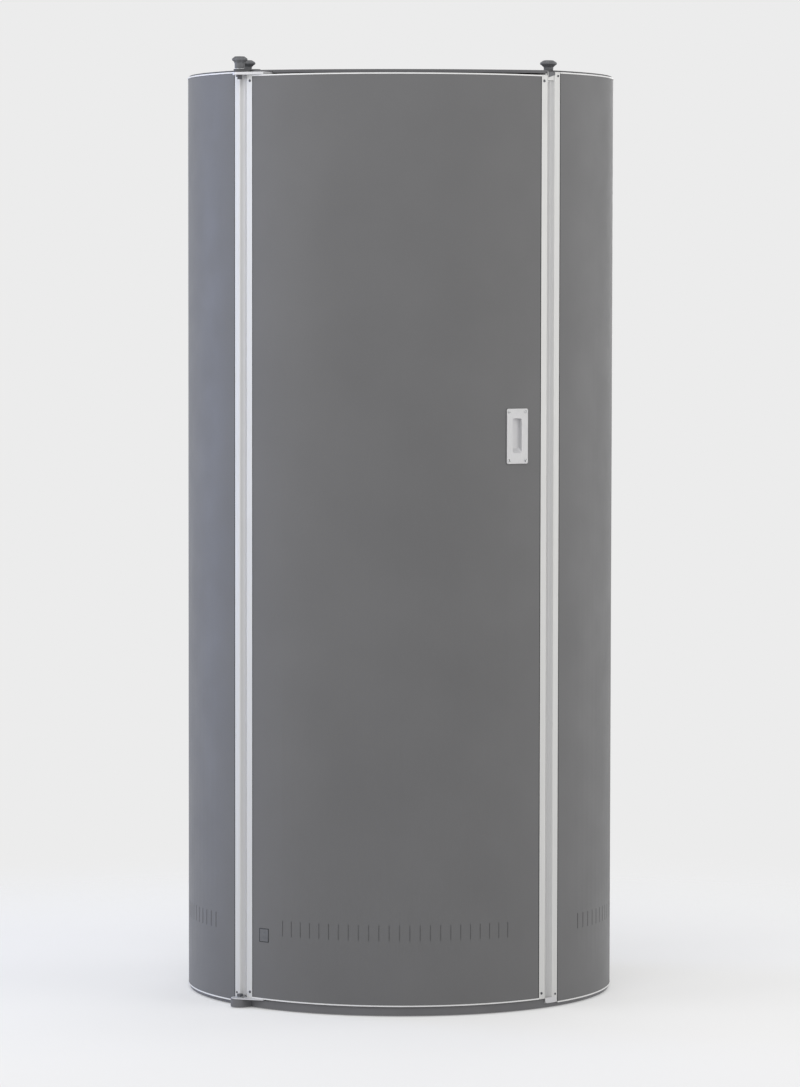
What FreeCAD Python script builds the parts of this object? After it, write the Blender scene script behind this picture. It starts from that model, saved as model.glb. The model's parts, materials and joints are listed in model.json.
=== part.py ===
import FreeCAD, Part
import math
import os

# Vertical tanning booth. Millimetres, +Z up, origin on the floor at the booth's axis.
# The door faces -Y and -X is the hinge side. Plan angles are degrees from the door's
# centre line, positive towards +X.

# ---- overall sizes
outer_d = 1000.0
height = 2150.0            # floor to the roof's top sheet
outer_r = outer_d / 2

# ---- sheet, profiles and clearances
sheet = 1.5                # skins, roof and base sheet
rail_t = 2.0               # lamp rails
lip_t = 2.7                # wall of the aluminium profiles
seat = 0.3                 # loose seat between fixed pieces
run = 0.05                 # radial clearance of pins, bushes and buttons
hang = 0.4                 # gap under the hinge plate

# ---- levels
base_h = 20.0              # base tray top
base_gap = 2.0             # base rim above the floor
base_setback = 3.0         # base and roof rims inside the skins
roof_setback = 90.0        # roof's front edge inside the skins, over the middle of the door
foot_h = 6.0
foot_r = 25.0
foot_inset = 37.0          # foot centres inside the base rim
rib_w = 50.0
rib_inset = 7.0
skirt_z = 10.0             # lower edge of the side skins
crown_drop = 3.5           # upper edge of the side skins under the roof top
rim_h = 7.0                # roof rim
top_plate_t = 4.0          # plate of the upper lamp rails
door_gap_z = 3.0           # door skin above the base
door_frame_gap = 5.0       # door's lower rail above the base
door_top_gap = 4.4         # door's upper rail under the roof rim
door_skin_drop = 0.4       # door skin under the door's upper rail
sill_h = 1.8               # sill on the base under the door
sill_w = 3.0
sill_start = -35.5
sill_end = 43.2
mat_t = 5.0
mat_gap = 3.0              # mat to the wall
post_foot_z = 12.0         # lower end of the posts' outer faces
ceiling_drop = 70.0        # ceiling panel under the roof top
ceiling_gap = 5.0          # ceiling panel to the wall
spacer_inset = 31.0        # spacers inside the wall
spacer_r1 = 3.0
spacer_r2 = 8.0

rim_z = height - rim_h
post_top = rim_z - top_plate_t
crown_z = height - crown_drop
roof_under = height - sheet
door_z1 = base_h + door_gap_z
door_rail_z = base_h + door_frame_gap
door_top = rim_z - door_top_gap
door_z2 = door_top - door_skin_drop
ceiling_z = height - ceiling_drop

# ---- plan angles of the front and rear posts
panel_end = 41.1           # door skin ends
door_end = 43.3            # door stile ends
panel_joint = 0.05         # door skin to stile
rebate_angle = 1.3         # rebate behind the door skin's edge
door_web = 0.3             # thickness of a door stile's web
door_lip = 2.1             # width of a door stile's inner lip
door_edge = 0.7            # door reflector and shield inside the stile
shield_end = 0.55          # fixed shield's edge from the middle of its post
post_start = 43.45         # post begins
groove_angle = 44.75       # middle of the post's flute
flange_start = 46.0
flange_end = 48.05
skin_start = 48.1          # side skin begins
post_box_end = 49.5
rear_post = 135.0
quadrant = 90.0
web_angle = 0.4            # thickness of a post's web
lip_angle = 2.75           # width of a post's inner lip
hollow_angle = 0.6         # wall beside a post's hollow
flute_wall = 4.0           # metal left around a post's hollow
rear_half = flange_end - quadrant / 2      # half width of a rear post's outer face
rear_skin_half = skin_start - quadrant / 2
box_half = post_box_end - quadrant / 2     # half width of a rear post's box

# ---- wall build-up, from the cabin out
shield_t = 3.0
shield_gap = 1.0           # between profile lip and shield
lamp_d = 38.0
lamp_front = 8.0           # shield to lamp
lamp_back = 6.0            # lamp to reflector
reflector_t = 1.0
ballast_depth = 30.0
ballast_back = 7.2         # ballast to skin

wall_depth = (lip_t + seat + shield_gap + shield_t + lamp_front + lamp_d + lamp_back + reflector_t
              + seat + ballast_depth + ballast_back + sheet)
cabin_r = outer_r - wall_depth
lip_r2 = cabin_r + lip_t + seat
shield_r1 = lip_r2 + shield_gap
shield_r2 = shield_r1 + shield_t
lamp_ring_r = shield_r2 + lamp_front + lamp_d / 2
reflector_r1 = lamp_ring_r + lamp_d / 2 + lamp_back
reflector_r2 = reflector_r1 + reflector_t
skin_r1 = outer_r - sheet
frame_r = skin_r1 - seat
rim_r = outer_r - base_setback
rail_r1 = lip_r2 + seat
rail_r2 = frame_r - lip_t - seat
rail_wall_h = 20.0
post_depth = 46.2
post_r1 = frame_r - post_depth

# ---- lamps
lamps_per_wall = 9
lamp_pitch = 9.0           # degrees
lamp_wall = 1.0
cap_len = 25.0
holder_h = 57.5            # lamp end above the fixed lower rail
holder_block = 24.0
holder_w = 30.0
holder_foot_w = 18.0
lamp_z1 = base_h + rail_t + holder_h
lamp_z2 = post_top - rail_t - holder_h

ballast_w = 40.0
ballast_h = 280.0
ballast_z = 560.0
ballast_rise = 690.0
ballast_pitch = 24.0       # degrees between columns

# ---- vents
slot_w = 2.4
slot_h = 36.0
slot_z = 173.0
door_slots = 24
door_slot_pitch = 2.69
wall_slots = 25
wall_slot_pitch = 2.75

# ---- edge trims
trim_h = 3.0
trim_wall = 0.8
trim_gap = 0.3

# ---- hinge
pivot_angle = -44.7
pivot_proud = 10.0         # pivot axis outside the skins
pin_r = 4.0
bush_r = 7.0
upper_plate_end_r = 16.0
lower_plate_end_r = 20.0
upper_plate_t = 6.1
plate_angle = -37.3        # free end of the hinge plates
plate_reach_in = 32.0      # how far the plates lie under the door's edge
plate_proud = trim_gap + trim_wall
upper_lug_end_r = 14.0
lower_lug_end_r = 21.5
lug_root = 27.0
lug_root_half = 30.0
upper_lug_t = 2.0          # part of the upper lug that lies on the roof
lug_gap = 0.5              # upper lug over the hinge plate
lug_room = 1.0             # around the lugs
notch_gap = 1.2            # around the hinge plates
washer_t = 1.5
bolt_head_h = 6.0
bolt_head_r = 7.5
square_nut = 10.4
square_nut_h = 9.6

# ---- door catches
catch_h = 12.0
catch_inset = 8.0          # lower catch above the base
catch_depth = 16.0
catch_angle = 2.3
catch_drop = 1.0           # upper catch's face inside the skins
catch_cover = 3.0          # metal between the flute and the lower catch
strike_t = 0.6
strike_drop = 2.0          # strike behind the catch's face

# ---- hand knobs
rear_nut_r = 7.5
rear_nut_h = 6.5
washer_r = 10.0
roof_stud_angle = 48.6
roof_stud_inset = 40.0
roof_knob_d = 38.4
roof_knob_h = 23.0
roof_knob_stem = 22.0
hinge_knob_d = 36.0
hinge_knob_h = 26.8
hinge_knob_stem = 23.0
knob_cap_h = 15.0
knob_undercut = 3.0
knob_rim_h = 6.0
knob_flat_d = 22.0
knob_bore = 17.0

# ---- pull handle
handle_angle = 33.4
handle_z = 1317.0
handle_w = 58.0
handle_h = 128.0
handle_t = 2.2
handle_corner = 4.0
cup_w = 24.4
cup_h = 82.0
cup_depth = 15.0
cup_wall = 1.6
cup_corner = 6.0
handle_screw_x = 22.0
handle_screw_z = 56.0

# ---- screws
screw_r = 1.6
screw_len = 5.0
screw_head_r = 2.6
screw_head_h = 1.2
stile_head_r = 3.2
handle_head_r = 3.2
handle_head_h = 1.4
stile_screw_angle = 42.1
post_screw_angle = 47.2
stile_screw_inset = 13.5
post_screw_inset = 11.0

# ---- fan
fan_r = 100.0
fan_wall = 3.0
fan_flange = 15.0
grille_band = 8.0
grille_bar = 3.0
grille_t = 4.0
guard_t = 6.0
grille_rings = 3
guard_rings = 4
fan_motor_r = 32.0
fan_hub_r = 30.0
fan_tip_gap = 5.0
fan_blades = 5
fan_shaft_r = 4.0
fan_motor_h = 27.0
fan_motor_gap = 3.5        # motor under the roof sheet
fan_hub_h = 16.0
fan_hub_gap = 2.0
fan_shaft_len = 14.0
fan_bar_w = 8.0
fan_bar_t = 4.0
blade_chord = 48.0
blade_t = 2.4
blade_pitch = 24.0

# ---- cabin fittings
grab_inset = 170.0
grab_span = 120.0
grab_drop = 60.0
grab_bar_r = 10.0
pull_z = 1080.0
pull_span = 160.0
pull_drop = 32.0
pull_bar_r = 6.0
box_w = 80.0
box_h = 150.0
box_depth = 26.0
box_wall = 2.5
box_z = 1200.0
button_r = 10.0
button_proud = 4.0
button_pitch = 42.0
gland_inset = 150.0
gland_bore_r = 7.0
gland_thread_r = 12.0
gland_nut_r = 17.0
gland_nut_h = 8.0
gland_cap_r = 13.5
gland_cap_h = 14.0
junction_w = 120.0
junction_d = 70.0
junction_h = 48.5
junction_wall = 2.5

roof_stud_r = outer_r - roof_stud_inset
grab_x = outer_r - grab_inset
gland_y = outer_r - gland_inset


def point(r, angle, z=0.0):
    """Point at a plan radius and angle."""
    a = math.radians(angle)
    return FreeCAD.Vector(r * math.sin(a), -r * math.cos(a), z)


def sector(r1, r2, a1, a2, z1, z2):
    """Ring segment between two plan angles."""
    mid = (a1 + a2) / 2
    outer = Part.Arc(point(r2, a1, z1), point(r2, mid, z1), point(r2, a2, z1)).toShape()
    inner = Part.Arc(point(r1, a2, z1), point(r1, mid, z1), point(r1, a1, z1)).toShape()
    end = Part.makeLine(point(r2, a2, z1), point(r1, a2, z1))
    start = Part.makeLine(point(r1, a1, z1), point(r2, a1, z1))
    face = Part.Face(Part.Wire([outer, end, inner, start]))
    return face.extrude(FreeCAD.Vector(0, 0, z2 - z1))


def disc(r, z1, z2, x=0.0, y=0.0):
    return Part.makeCylinder(r, z2 - z1, FreeCAD.Vector(x, y, z1))


def tube(r1, r2, z1, z2, x=0.0, y=0.0):
    return disc(r2, z1, z2, x, y).cut(disc(r1, z1, z2, x, y))


def block(x1, x2, y1, y2, z1, z2):
    return Part.makeBox(x2 - x1, y2 - y1, z2 - z1, FreeCAD.Vector(x1, y1, z1))


def prism(points, z1, z2):
    """Straight-sided plan outline raised from z1 to z2."""
    corners = [FreeCAD.Vector(p.x, p.y, z1) for p in points]
    wire = Part.makePolygon(corners + corners[:1])
    return Part.Face(wire).extrude(FreeCAD.Vector(0, 0, z2 - z1))


def turned(shape, angle):
    """The same shape moved round the booth's axis."""
    return shape.rotated(FreeCAD.Vector(0, 0, 0), FreeCAD.Vector(0, 0, 1), angle)


def mirrored(shape):
    return shape.mirror(FreeCAD.Vector(0, 0, 0), FreeCAD.Vector(1, 0, 0))


def joined(shapes):
    return shapes[0].multiFuse(shapes[1:]).removeSplitter()


def edges_along_y(shape, y_low, y_high):
    """Straight edges that run along Y through the whole depth."""
    found = []
    for edge in shape.Edges:
        box = edge.BoundBox
        if box.XLength < 0.01 and box.ZLength < 0.01 and box.YMin < y_low + 0.01 and box.YMax > y_high - 0.01:
            found.append(edge)
    return found


def bar_loop(span, drop, bar_r):
    """Round bar in the XZ plane: two legs hanging from z = 0, joined by a straight grip."""
    bend = 2.5 * bar_r
    half = span / 2
    low = -drop
    k = bend * (1 - math.sqrt(0.5))
    v = FreeCAD.Vector
    edges = [Part.makeLine(v(-half, 0, 0), v(-half, 0, low + bend)),
             Part.Arc(v(-half, 0, low + bend), v(-half + k, 0, low + k), v(-half + bend, 0, low)).toShape(),
             Part.makeLine(v(-half + bend, 0, low), v(half - bend, 0, low)),
             Part.Arc(v(half - bend, 0, low), v(half - k, 0, low + k), v(half, 0, low + bend)).toShape(),
             Part.makeLine(v(half, 0, low + bend), v(half, 0, 0))]
    profile = Part.Wire([Part.makeCircle(bar_r, v(-half, 0, 0), v(0, 0, 1))])
    bar = Part.Wire(edges).makePipeShell([profile], True, True)
    feet = [Part.makeCylinder(1.8 * bar_r, 3.0, v(side * half, 0, -3.0)) for side in (-1, 1)]
    return joined([bar] + feet)


def screw(angle, z, r=outer_r, head_r=screw_head_r):
    """Screw driven towards the axis, its head on the surface at radius r."""
    towards_axis = point(1, angle) * -1
    head = Part.makeCylinder(head_r, screw_head_h, point(r + screw_head_h, angle, z), towards_axis)
    shank = Part.makeCylinder(screw_r, screw_len, point(r, angle, z), towards_axis)
    return head.fuse(shank)


def screw_hole(angle, z, r=outer_r):
    towards_axis = point(1, angle) * -1
    return Part.makeCylinder(screw_r + run, screw_len + 2, point(r + 1, angle, z), towards_axis)


# ---- base

def base_tray():
    pan = joined([disc(rim_r, base_h - rail_t, base_h),
                  tube(rim_r - rail_t, rim_r, base_gap, base_h - rail_t)])
    reach = rim_r - rib_inset
    rib = block(-reach, reach, -rib_w / 2, rib_w / 2, foot_h, base_h - rail_t)
    sill = sector(rim_r - sill_w, rim_r, sill_start, sill_end, base_h, base_h + sill_h)
    return joined([pan, turned(rib, 45), turned(rib, -45), sill])


def feet():
    pads = [disc(foot_r, 0, foot_h)]
    for k in range(4):
        centre = point(rim_r - foot_inset, quadrant * (k + 0.5))
        pads.append(disc(foot_r, 0, foot_h, centre.x, centre.y))
    return pads


def floor_mat():
    return disc(cabin_r - mat_gap, base_h, base_h + mat_t)


# ---- hinge outlines, shared by the plates, the lugs and the notches around them

pivot_r = outer_r + pivot_proud
pivot = point(pivot_r, pivot_angle)


def blended_outline(end_r, root_a, root_b, z1, z2):
    """Round end about the pivot, running straight to the two root points."""
    middle = (root_a + root_b) * 0.5
    along = middle - pivot
    along.normalize()
    side = FreeCAD.Vector(-along.y, along.x, 0) * end_r
    if (root_a - middle).dot(side) < 0:
        side = side * -1
    body = prism([pivot + side, root_a, root_b, pivot - side], z1, z2)
    return joined([body, disc(end_r, z1, z2, pivot.x, pivot.y)])


def hinge_plate_outline(end_r, extra, z1, z2):
    widen = math.degrees(extra / outer_r)
    far_out = point(outer_r + plate_proud + extra, plate_angle + widen)
    far_in = point(outer_r - plate_reach_in - extra, plate_angle + widen)
    return blended_outline(end_r + extra, far_out, far_in, z1, z2)


def lug_outline(end_r, extra, z1, z2):
    axis_in = point(outer_r - lug_root, pivot_angle)
    across = point(1, pivot_angle + 90) * (lug_root_half + extra)
    return blended_outline(end_r + extra, axis_in + across, axis_in - across, z1, z2)


lower_plate_z1 = base_h + hang
lower_plate_z2 = door_z1 - 0.2
upper_plate_z2 = door_top + upper_plate_t
upper_lug_z = upper_plate_z2 + lug_gap


def lower_notch():
    return hinge_plate_outline(lower_plate_end_r, notch_gap, base_h, door_rail_z + notch_gap)


def upper_notch(z2):
    return hinge_plate_outline(upper_plate_end_r, notch_gap, door_top - notch_gap, z2)


# ---- posts

groove_half = math.radians(flange_start - 0.05 - groove_angle) * outer_r
groove_depth = 7.0
groove_tool_r = (groove_half ** 2 + groove_depth ** 2) / (2 * groove_depth)


def groove(angle):
    centre = point(outer_r - groove_depth + groove_tool_r, angle)
    return disc(groove_tool_r, 0, height, centre.x, centre.y)


def post_hollow(a1, a2):
    """Lengthwise chamber of a post's box."""
    return sector(post_r1 + flute_wall, outer_r - groove_depth - flute_wall, a1 + hollow_angle,
                  a2 - hollow_angle, base_h, post_top)


def front_post():
    """Right-hand front post: fluted box, flange over the side skin and inner lip."""
    profile = joined([sector(post_r1, frame_r, post_start, post_box_end, base_h, post_top),
                      sector(frame_r, outer_r, post_start, flange_end, post_foot_z, crown_z),
                      sector(lip_r2, post_r1, post_start, post_start + web_angle, base_h, post_top),
                      sector(cabin_r, lip_r2, post_start, post_start + lip_angle, base_h, post_top)])
    hollow = post_hollow(post_start, post_box_end)
    holes = [screw_hole(post_screw_angle, z) for z in post_screw_levels]
    return profile.cut([groove(groove_angle), hollow] + holes)


post_screw_levels = (base_h + post_screw_inset, roof_under - post_screw_inset)
catch_places = ((base_h + catch_inset, outer_r - groove_depth - catch_cover),
                (post_top - seat - catch_h, outer_r - catch_drop))


def catch_body(z, front_r, extra):
    """Block of a door catch, grown by extra for its pocket."""
    return sector(front_r - catch_depth - extra, front_r, post_start, post_start + catch_angle, z - extra,
                  z + catch_h + extra)


def latch_post():
    pockets = [catch_body(z, front_r, seat) for z, front_r in catch_places]
    return front_post().cut(pockets)


def hinge_post():
    lower_room = lug_outline(lower_lug_end_r, lug_room, 0, base_h + lug_room)
    upper_room = lug_outline(upper_lug_end_r, lug_room, upper_lug_z - lug_room, height)
    return mirrored(front_post()).cut([lower_notch(), upper_notch(height), lower_room, upper_room])


def rear_posts():
    body = joined([sector(post_r1, frame_r, rear_post - box_half, rear_post + box_half, base_h, post_top),
                   sector(frame_r, outer_r, rear_post - rear_half, rear_post + rear_half,
                          post_foot_z, crown_z),
                   sector(lip_r2, post_r1, rear_post - web_angle / 2, rear_post + web_angle / 2, base_h,
                          post_top),
                   sector(cabin_r, lip_r2, rear_post - lip_angle, rear_post + lip_angle, base_h,
                          post_top)])
    hollow = post_hollow(rear_post - box_half, rear_post + box_half)
    right = body.cut([groove(rear_post), hollow])
    return [right, mirrored(right)]


# ---- skins and trims

def vent_slots(count, pitch, angle):
    """Upright slots with round ends, spread evenly about one plan angle."""
    r = slot_w / 2
    v = FreeCAD.Vector
    low = slot_z + r
    high = slot_z + slot_h - r
    y = -outer_r - 5
    wire = Part.Wire([Part.makeLine(v(-r, y, low), v(-r, y, high)),
                      Part.Arc(v(-r, y, high), v(0, y, high + r), v(r, y, high)).toShape(),
                      Part.makeLine(v(r, y, high), v(r, y, low)),
                      Part.Arc(v(r, y, low), v(0, y, low - r), v(-r, y, low)).toShape()])
    cutter = Part.Face(wire).extrude(v(0, 20, 0))
    first = angle - pitch * (count - 1) / 2
    return [turned(cutter, first + pitch * k) for k in range(count)]


def wall_skin(a1, a2):
    skin = sector(skin_r1, outer_r, a1, a2, skirt_z + trim_wall + trim_gap, crown_z - trim_wall - trim_gap)
    return skin.cut(vent_slots(wall_slots, wall_slot_pitch, (a1 + a2) / 2))


def edge_trims(a1, a2, z1, z2):
    """U-shaped strips over the lower and upper edges of a skin."""
    strips = []
    for low, slot_low in ((z1, z1 + trim_wall), (z2 - trim_h, z2 - trim_h)):
        strip = sector(skin_r1 - trim_gap - trim_wall, outer_r + trim_gap + trim_wall, a1, a2, low,
                       low + trim_h)
        slot = sector(skin_r1 - trim_gap, outer_r + trim_gap, a1 - 1, a2 + 1, slot_low,
                      slot_low + trim_h - trim_wall)
        strips.append(strip.cut(slot))
    return strips


wall_spans = {"left": (-rear_post + rear_skin_half, -skin_start),
              "right": (skin_start, rear_post - rear_skin_half),
              "rear": (rear_post + rear_skin_half, 360 - rear_post - rear_skin_half)}


def wall_trims():
    strips = []
    for a1, a2 in wall_spans.values():
        strips += edge_trims(a1, a2, skirt_z, crown_z)
    return strips


# ---- roof, ceiling and fan

def roof_outline(inset, z1, z2):
    """Round roof with a flatter front edge over the door, between the front posts."""
    corner = point(outer_r, quadrant / 2)
    roof_front = outer_r - roof_setback
    rise = roof_front + corner.y
    front_r = (corner.x ** 2 + rise ** 2) / (2 * rise)
    front = disc(front_r - inset, z1, z2, 0, front_r - roof_front)
    return disc(rim_r - inset, z1, z2).common(front)


def roof_panel():
    rim = roof_outline(0, rim_z, roof_under).cut(roof_outline(rail_t, rim_z, roof_under))
    pan = joined([roof_outline(0, roof_under, height), rim])
    room_z = upper_plate_z2 + notch_gap
    reach = (point(outer_r - plate_reach_in, plate_angle) - pivot).Length + notch_gap
    sweep = disc(reach, rim_z - 1, room_z, pivot.x, pivot.y)
    sweep = sweep.common(sector(cabin_r, outer_r + 40, -post_start, plate_angle + 15, rim_z - 1, room_z))
    holes = [disc(fan_r, rim_z, height), disc(gland_thread_r + seat, rim_z, height, 0, gland_y)]
    for stud in stud_points():
        holes.append(disc(pin_r + seat, rim_z, height, stud.x, stud.y))
    return pan.cut([upper_notch(room_z), sweep] + holes)


def stud_points():
    angles = (-roof_stud_angle, roof_stud_angle, rear_post, -rear_post)
    return [point(roof_stud_r, angle) for angle in angles]


def roof_studs():
    """Two studs for the hand knobs, and two at the rear with fixed nuts."""
    studs = []
    for k, centre in enumerate(stud_points()):
        low = height + washer_t
        stud = disc(pin_r, rim_z, low + knob_bore - 1, centre.x, centre.y)
        if k > 1:
            stud = disc(pin_r, rim_z, low + rear_nut_h + 2, centre.x, centre.y)
            stud = stud.fuse(hexagon(rear_nut_r, low, low + rear_nut_h, centre.x, centre.y))
        studs.append(stud)
    return studs


def hexagon(corner_r, z1, z2, x, y):
    corners = []
    for k in range(6):
        corners.append(FreeCAD.Vector(x, y, 0) + point(corner_r, 60 * k))
    return prism(corners, z1, z2)


def knob(x, y, z, d, stem_d, total_h):
    """Mushroom hand knob with a blind bore; z is the underside."""
    v = FreeCAD.Vector
    bore_r = pin_r + run
    cap_r = d / 2
    stem_r = stem_d / 2
    flat_r = knob_flat_d / 2
    stem_top = total_h - knob_cap_h
    edge_z = stem_top + knob_undercut
    crown_z1 = edge_z + knob_rim_h
    dome = v(flat_r + (cap_r - flat_r) * 0.72, 0, crown_z1 + (total_h - crown_z1) * 0.72)
    edges = [Part.makeLine(v(bore_r, 0, 0), v(stem_r, 0, 0)),
             Part.makeLine(v(stem_r, 0, 0), v(stem_r, 0, stem_top)),
             Part.makeLine(v(stem_r, 0, stem_top), v(cap_r, 0, edge_z)),
             Part.makeLine(v(cap_r, 0, edge_z), v(cap_r, 0, crown_z1)),
             Part.Arc(v(cap_r, 0, crown_z1), dome, v(flat_r, 0, total_h)).toShape(),
             Part.makeLine(v(flat_r, 0, total_h), v(0, 0, total_h)),
             Part.makeLine(v(0, 0, total_h), v(0, 0, knob_bore)),
             Part.makeLine(v(0, 0, knob_bore), v(bore_r, 0, knob_bore)),
             Part.makeLine(v(bore_r, 0, knob_bore), v(bore_r, 0, 0))]
    body = Part.Face(Part.Wire(edges)).revolve(v(0, 0, 0), v(0, 0, 1), 360)
    body.translate(v(x, y, z))
    return body


def roof_knob(side):
    centre = point(roof_stud_r, side * roof_stud_angle)
    return knob(centre.x, centre.y, height + washer_t + seat, roof_knob_d, roof_knob_stem, roof_knob_h)


def washers():
    """Plain washers under the roof knobs, the rear nuts, the hinge knob and the lower hinge bolt."""
    rings = [tube(pin_r + seat, washer_r, height, height + washer_t, p.x, p.y) for p in stud_points()]
    for z in (height + upper_lug_t, lower_plate_z2 + seat):
        rings.append(tube(pin_r + seat, washer_r, z, z + washer_t, pivot.x, pivot.y))
    return rings


def ring_grille(z1, z2, rings):
    """Flat rings joined by four spokes, in a band that overlaps the fan's hole."""
    pieces = [tube(fan_r, fan_r + grille_band, z1, z2)]
    pitch = fan_r / (rings + 1)
    for k in range(rings):
        ring_r = pitch * (k + 1)
        pieces.append(tube(ring_r - grille_bar / 2, ring_r + grille_bar / 2, z1, z2))
    spoke = block(-grille_bar / 2, grille_bar / 2, -fan_r - 1, -pitch, z1, z2)
    for k in range(4):
        pieces.append(turned(spoke, quadrant * (k + 0.5)))
    return joined(pieces)


def ceiling_panel():
    return tube(fan_r, cabin_r - ceiling_gap, ceiling_z, ceiling_z + rail_t)


def ceiling_spacers():
    spacers = []
    for k in range(4):
        centre = point(cabin_r - spacer_inset, quadrant * (k + 0.5))
        spacers.append(tube(spacer_r1, spacer_r2, ceiling_z + rail_t, roof_under, centre.x, centre.y))
    return spacers


def fan_shroud():
    barrel = tube(fan_r, fan_r + fan_wall, ceiling_z + rail_t, roof_under)
    flange = tube(fan_r + fan_wall, fan_r + fan_flange, roof_under - rail_t, roof_under)
    return joined([barrel, flange])


motor_z2 = roof_under - fan_motor_gap
motor_z1 = motor_z2 - fan_motor_h
hub_z2 = motor_z1 - fan_hub_gap
hub_z1 = hub_z2 - fan_hub_h


def fan_motor():
    bars = []
    for k in range(4):
        bar = block(-fan_bar_w / 2, fan_bar_w / 2, -fan_r, -fan_motor_r + 3, motor_z2 - fan_bar_t, motor_z2)
        bars.append(turned(bar, 90 * k))
    can = disc(fan_motor_r, motor_z1, motor_z2)
    body = joined([can] + bars).common(disc(fan_r - 0.1, motor_z1, motor_z2))
    return body.cut(disc(fan_shaft_r + run, motor_z1, hub_z2 + fan_shaft_len + 1))


def fan_impeller():
    middle = (hub_z1 + hub_z2) / 2
    blade = block(-blade_chord / 2, blade_chord / 2, -fan_r, -fan_hub_r + 3, middle - blade_t / 2,
                  middle + blade_t / 2)
    blade = blade.rotated(FreeCAD.Vector(0, 0, middle), FreeCAD.Vector(0, 1, 0), blade_pitch)
    blades = [turned(blade, 360 / fan_blades * k) for k in range(fan_blades)]
    hub = disc(fan_hub_r, hub_z1, hub_z2)
    rotor = joined([hub] + blades).common(disc(fan_r - fan_tip_gap, ceiling_z, motor_z1))
    return joined([rotor, disc(fan_shaft_r, hub_z2, hub_z2 + fan_shaft_len)])


# ---- lamp walls

def lamp_angles(middle):
    first = middle - lamp_pitch * (lamps_per_wall - 1) / 2
    return [first + lamp_pitch * k for k in range(lamps_per_wall)]


cabinet_lamp_angles = lamp_angles(90) + lamp_angles(180) + lamp_angles(270)
door_lamp_angles = lamp_angles(0)


def lamp_tubes(angles):
    tubes = []
    for angle in angles:
        c = point(lamp_ring_r, angle)
        tubes.append(tube(lamp_d / 2 - lamp_wall, lamp_d / 2, lamp_z1 + cap_len, lamp_z2 - cap_len, c.x, c.y))
    return tubes


def lamp_caps(angles):
    caps = []
    for angle in angles:
        c = point(lamp_ring_r, angle)
        for z1, hollow_z in ((lamp_z1, lamp_z1 + 2), (lamp_z2 - cap_len, lamp_z2 - cap_len)):
            cup = disc(lamp_d / 2, z1, z1 + cap_len, c.x, c.y)
            caps.append(cup.cut(disc(lamp_d / 2 - 2, hollow_z, hollow_z + cap_len - 2, c.x, c.y)))
    return caps


def lampholders(angles, lower_plate, upper_plate):
    """Socket blocks on short feet, below and above each lamp."""
    holders = []
    half = holder_w / 2
    foot = holder_foot_w / 2
    y1 = -lamp_ring_r - half
    y2 = -lamp_ring_r + half
    low_top = lamp_z1 - seat
    high_bottom = lamp_z2 + seat
    mid = (y1 + y2) / 2
    lower = joined([block(-half, half, y1, y2, low_top - holder_block, low_top),
                    block(-foot, foot, mid - foot, mid + foot, lower_plate, low_top - holder_block)])
    upper = joined([block(-half, half, y1, y2, high_bottom, high_bottom + holder_block),
                    block(-foot, foot, mid - foot, mid + foot, high_bottom + holder_block, upper_plate)])
    for angle in angles:
        holders += [turned(lower, angle), turned(upper, angle)]
    return holders


def rail(a1, a2, z_plate, plate_t, upward, r2, plate_a1, plate_a2):
    """Curved pan: a flat plate with a wall along its inner and outer edges."""
    wall_z = z_plate + plate_t if upward else z_plate - rail_wall_h
    wall_r1 = shield_r2 + 1
    return joined([sector(rail_r1, r2, plate_a1, plate_a2, z_plate, z_plate + plate_t),
                   sector(wall_r1, wall_r1 + rail_t, a1, a2, wall_z, wall_z + rail_wall_h),
                   sector(r2 - 2 * rail_t, r2 - rail_t, a1, a2, wall_z, wall_z + rail_wall_h)])


def cabinet_lamp_rails():
    inner_half = quadrant / 2 - box_half - 0.1
    rails = []
    for middle in (90, 180, 270):
        a1 = middle - inner_half
        a2 = middle + inner_half
        end1 = middle - quadrant / 2
        end2 = middle + quadrant / 2
        if middle == 90:
            end1 = post_start
        if middle == 270:
            end2 = 360 - post_start
        rails.append(rail(a1, a2, base_h, rail_t, True, rail_r2, a1, a2))
        upper = rail(a1, a2, post_top, top_plate_t, False, rail_r2, end1, end2)
        rails.append(upper.cut(upper_notch(height)))
    return rails


def door_rails():
    end = door_end - door_web
    return [rail(-end, end, door_rail_z, rail_t, True, rail_r2, -end, end),
            rail(-end, end, door_top - rail_t, rail_t, False, rail_r2, -end, end)]


def cabinet_reflectors():
    half = quadrant / 2 - box_half - 0.2
    top = post_top
    low = base_h + rail_t
    return [sector(reflector_r1, reflector_r2, m - half, m + half, low, top) for m in (90, 180, 270)]


def door_reflector():
    end = door_end - door_edge
    return sector(reflector_r1, reflector_r2, -end, end, door_rail_z + rail_t, door_top - rail_t)


def wall_shield(middle):
    a1 = middle - quadrant / 2 + shield_end
    a2 = middle + quadrant / 2 - shield_end
    return sector(shield_r1, shield_r2, a1, a2, base_h + rail_t, post_top)


def door_shield():
    end = door_end - door_edge
    return sector(shield_r1, shield_r2, -end, end, door_rail_z + rail_t, door_top - rail_t)


def ballasts():
    """Slim ballasts behind the reflectors, three columns of two in each wall."""
    r1 = reflector_r2 + seat
    cases = []
    for middle in (90, 180, 270):
        for column in (-1, 0, 1):
            for z in (ballast_z, ballast_z + ballast_rise):
                body = block(-ballast_w / 2, ballast_w / 2, -r1 - ballast_depth, -r1, z, z + ballast_h)
                cases.append(turned(body, middle + ballast_pitch * column))
    return cases


# ---- electrics

def junction_box():
    half_w = junction_w / 2
    half_d = junction_d / 2
    low = roof_under - junction_h
    wall = junction_wall
    outer = block(-half_w, half_w, gland_y - half_d, gland_y + half_d, low, roof_under)
    inner = block(wall - half_w, half_w - wall, gland_y - half_d + wall, gland_y + half_d - wall, low,
                  roof_under - wall)
    return outer.cut([inner, disc(gland_thread_r + seat, low, roof_under, 0, gland_y)])


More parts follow.
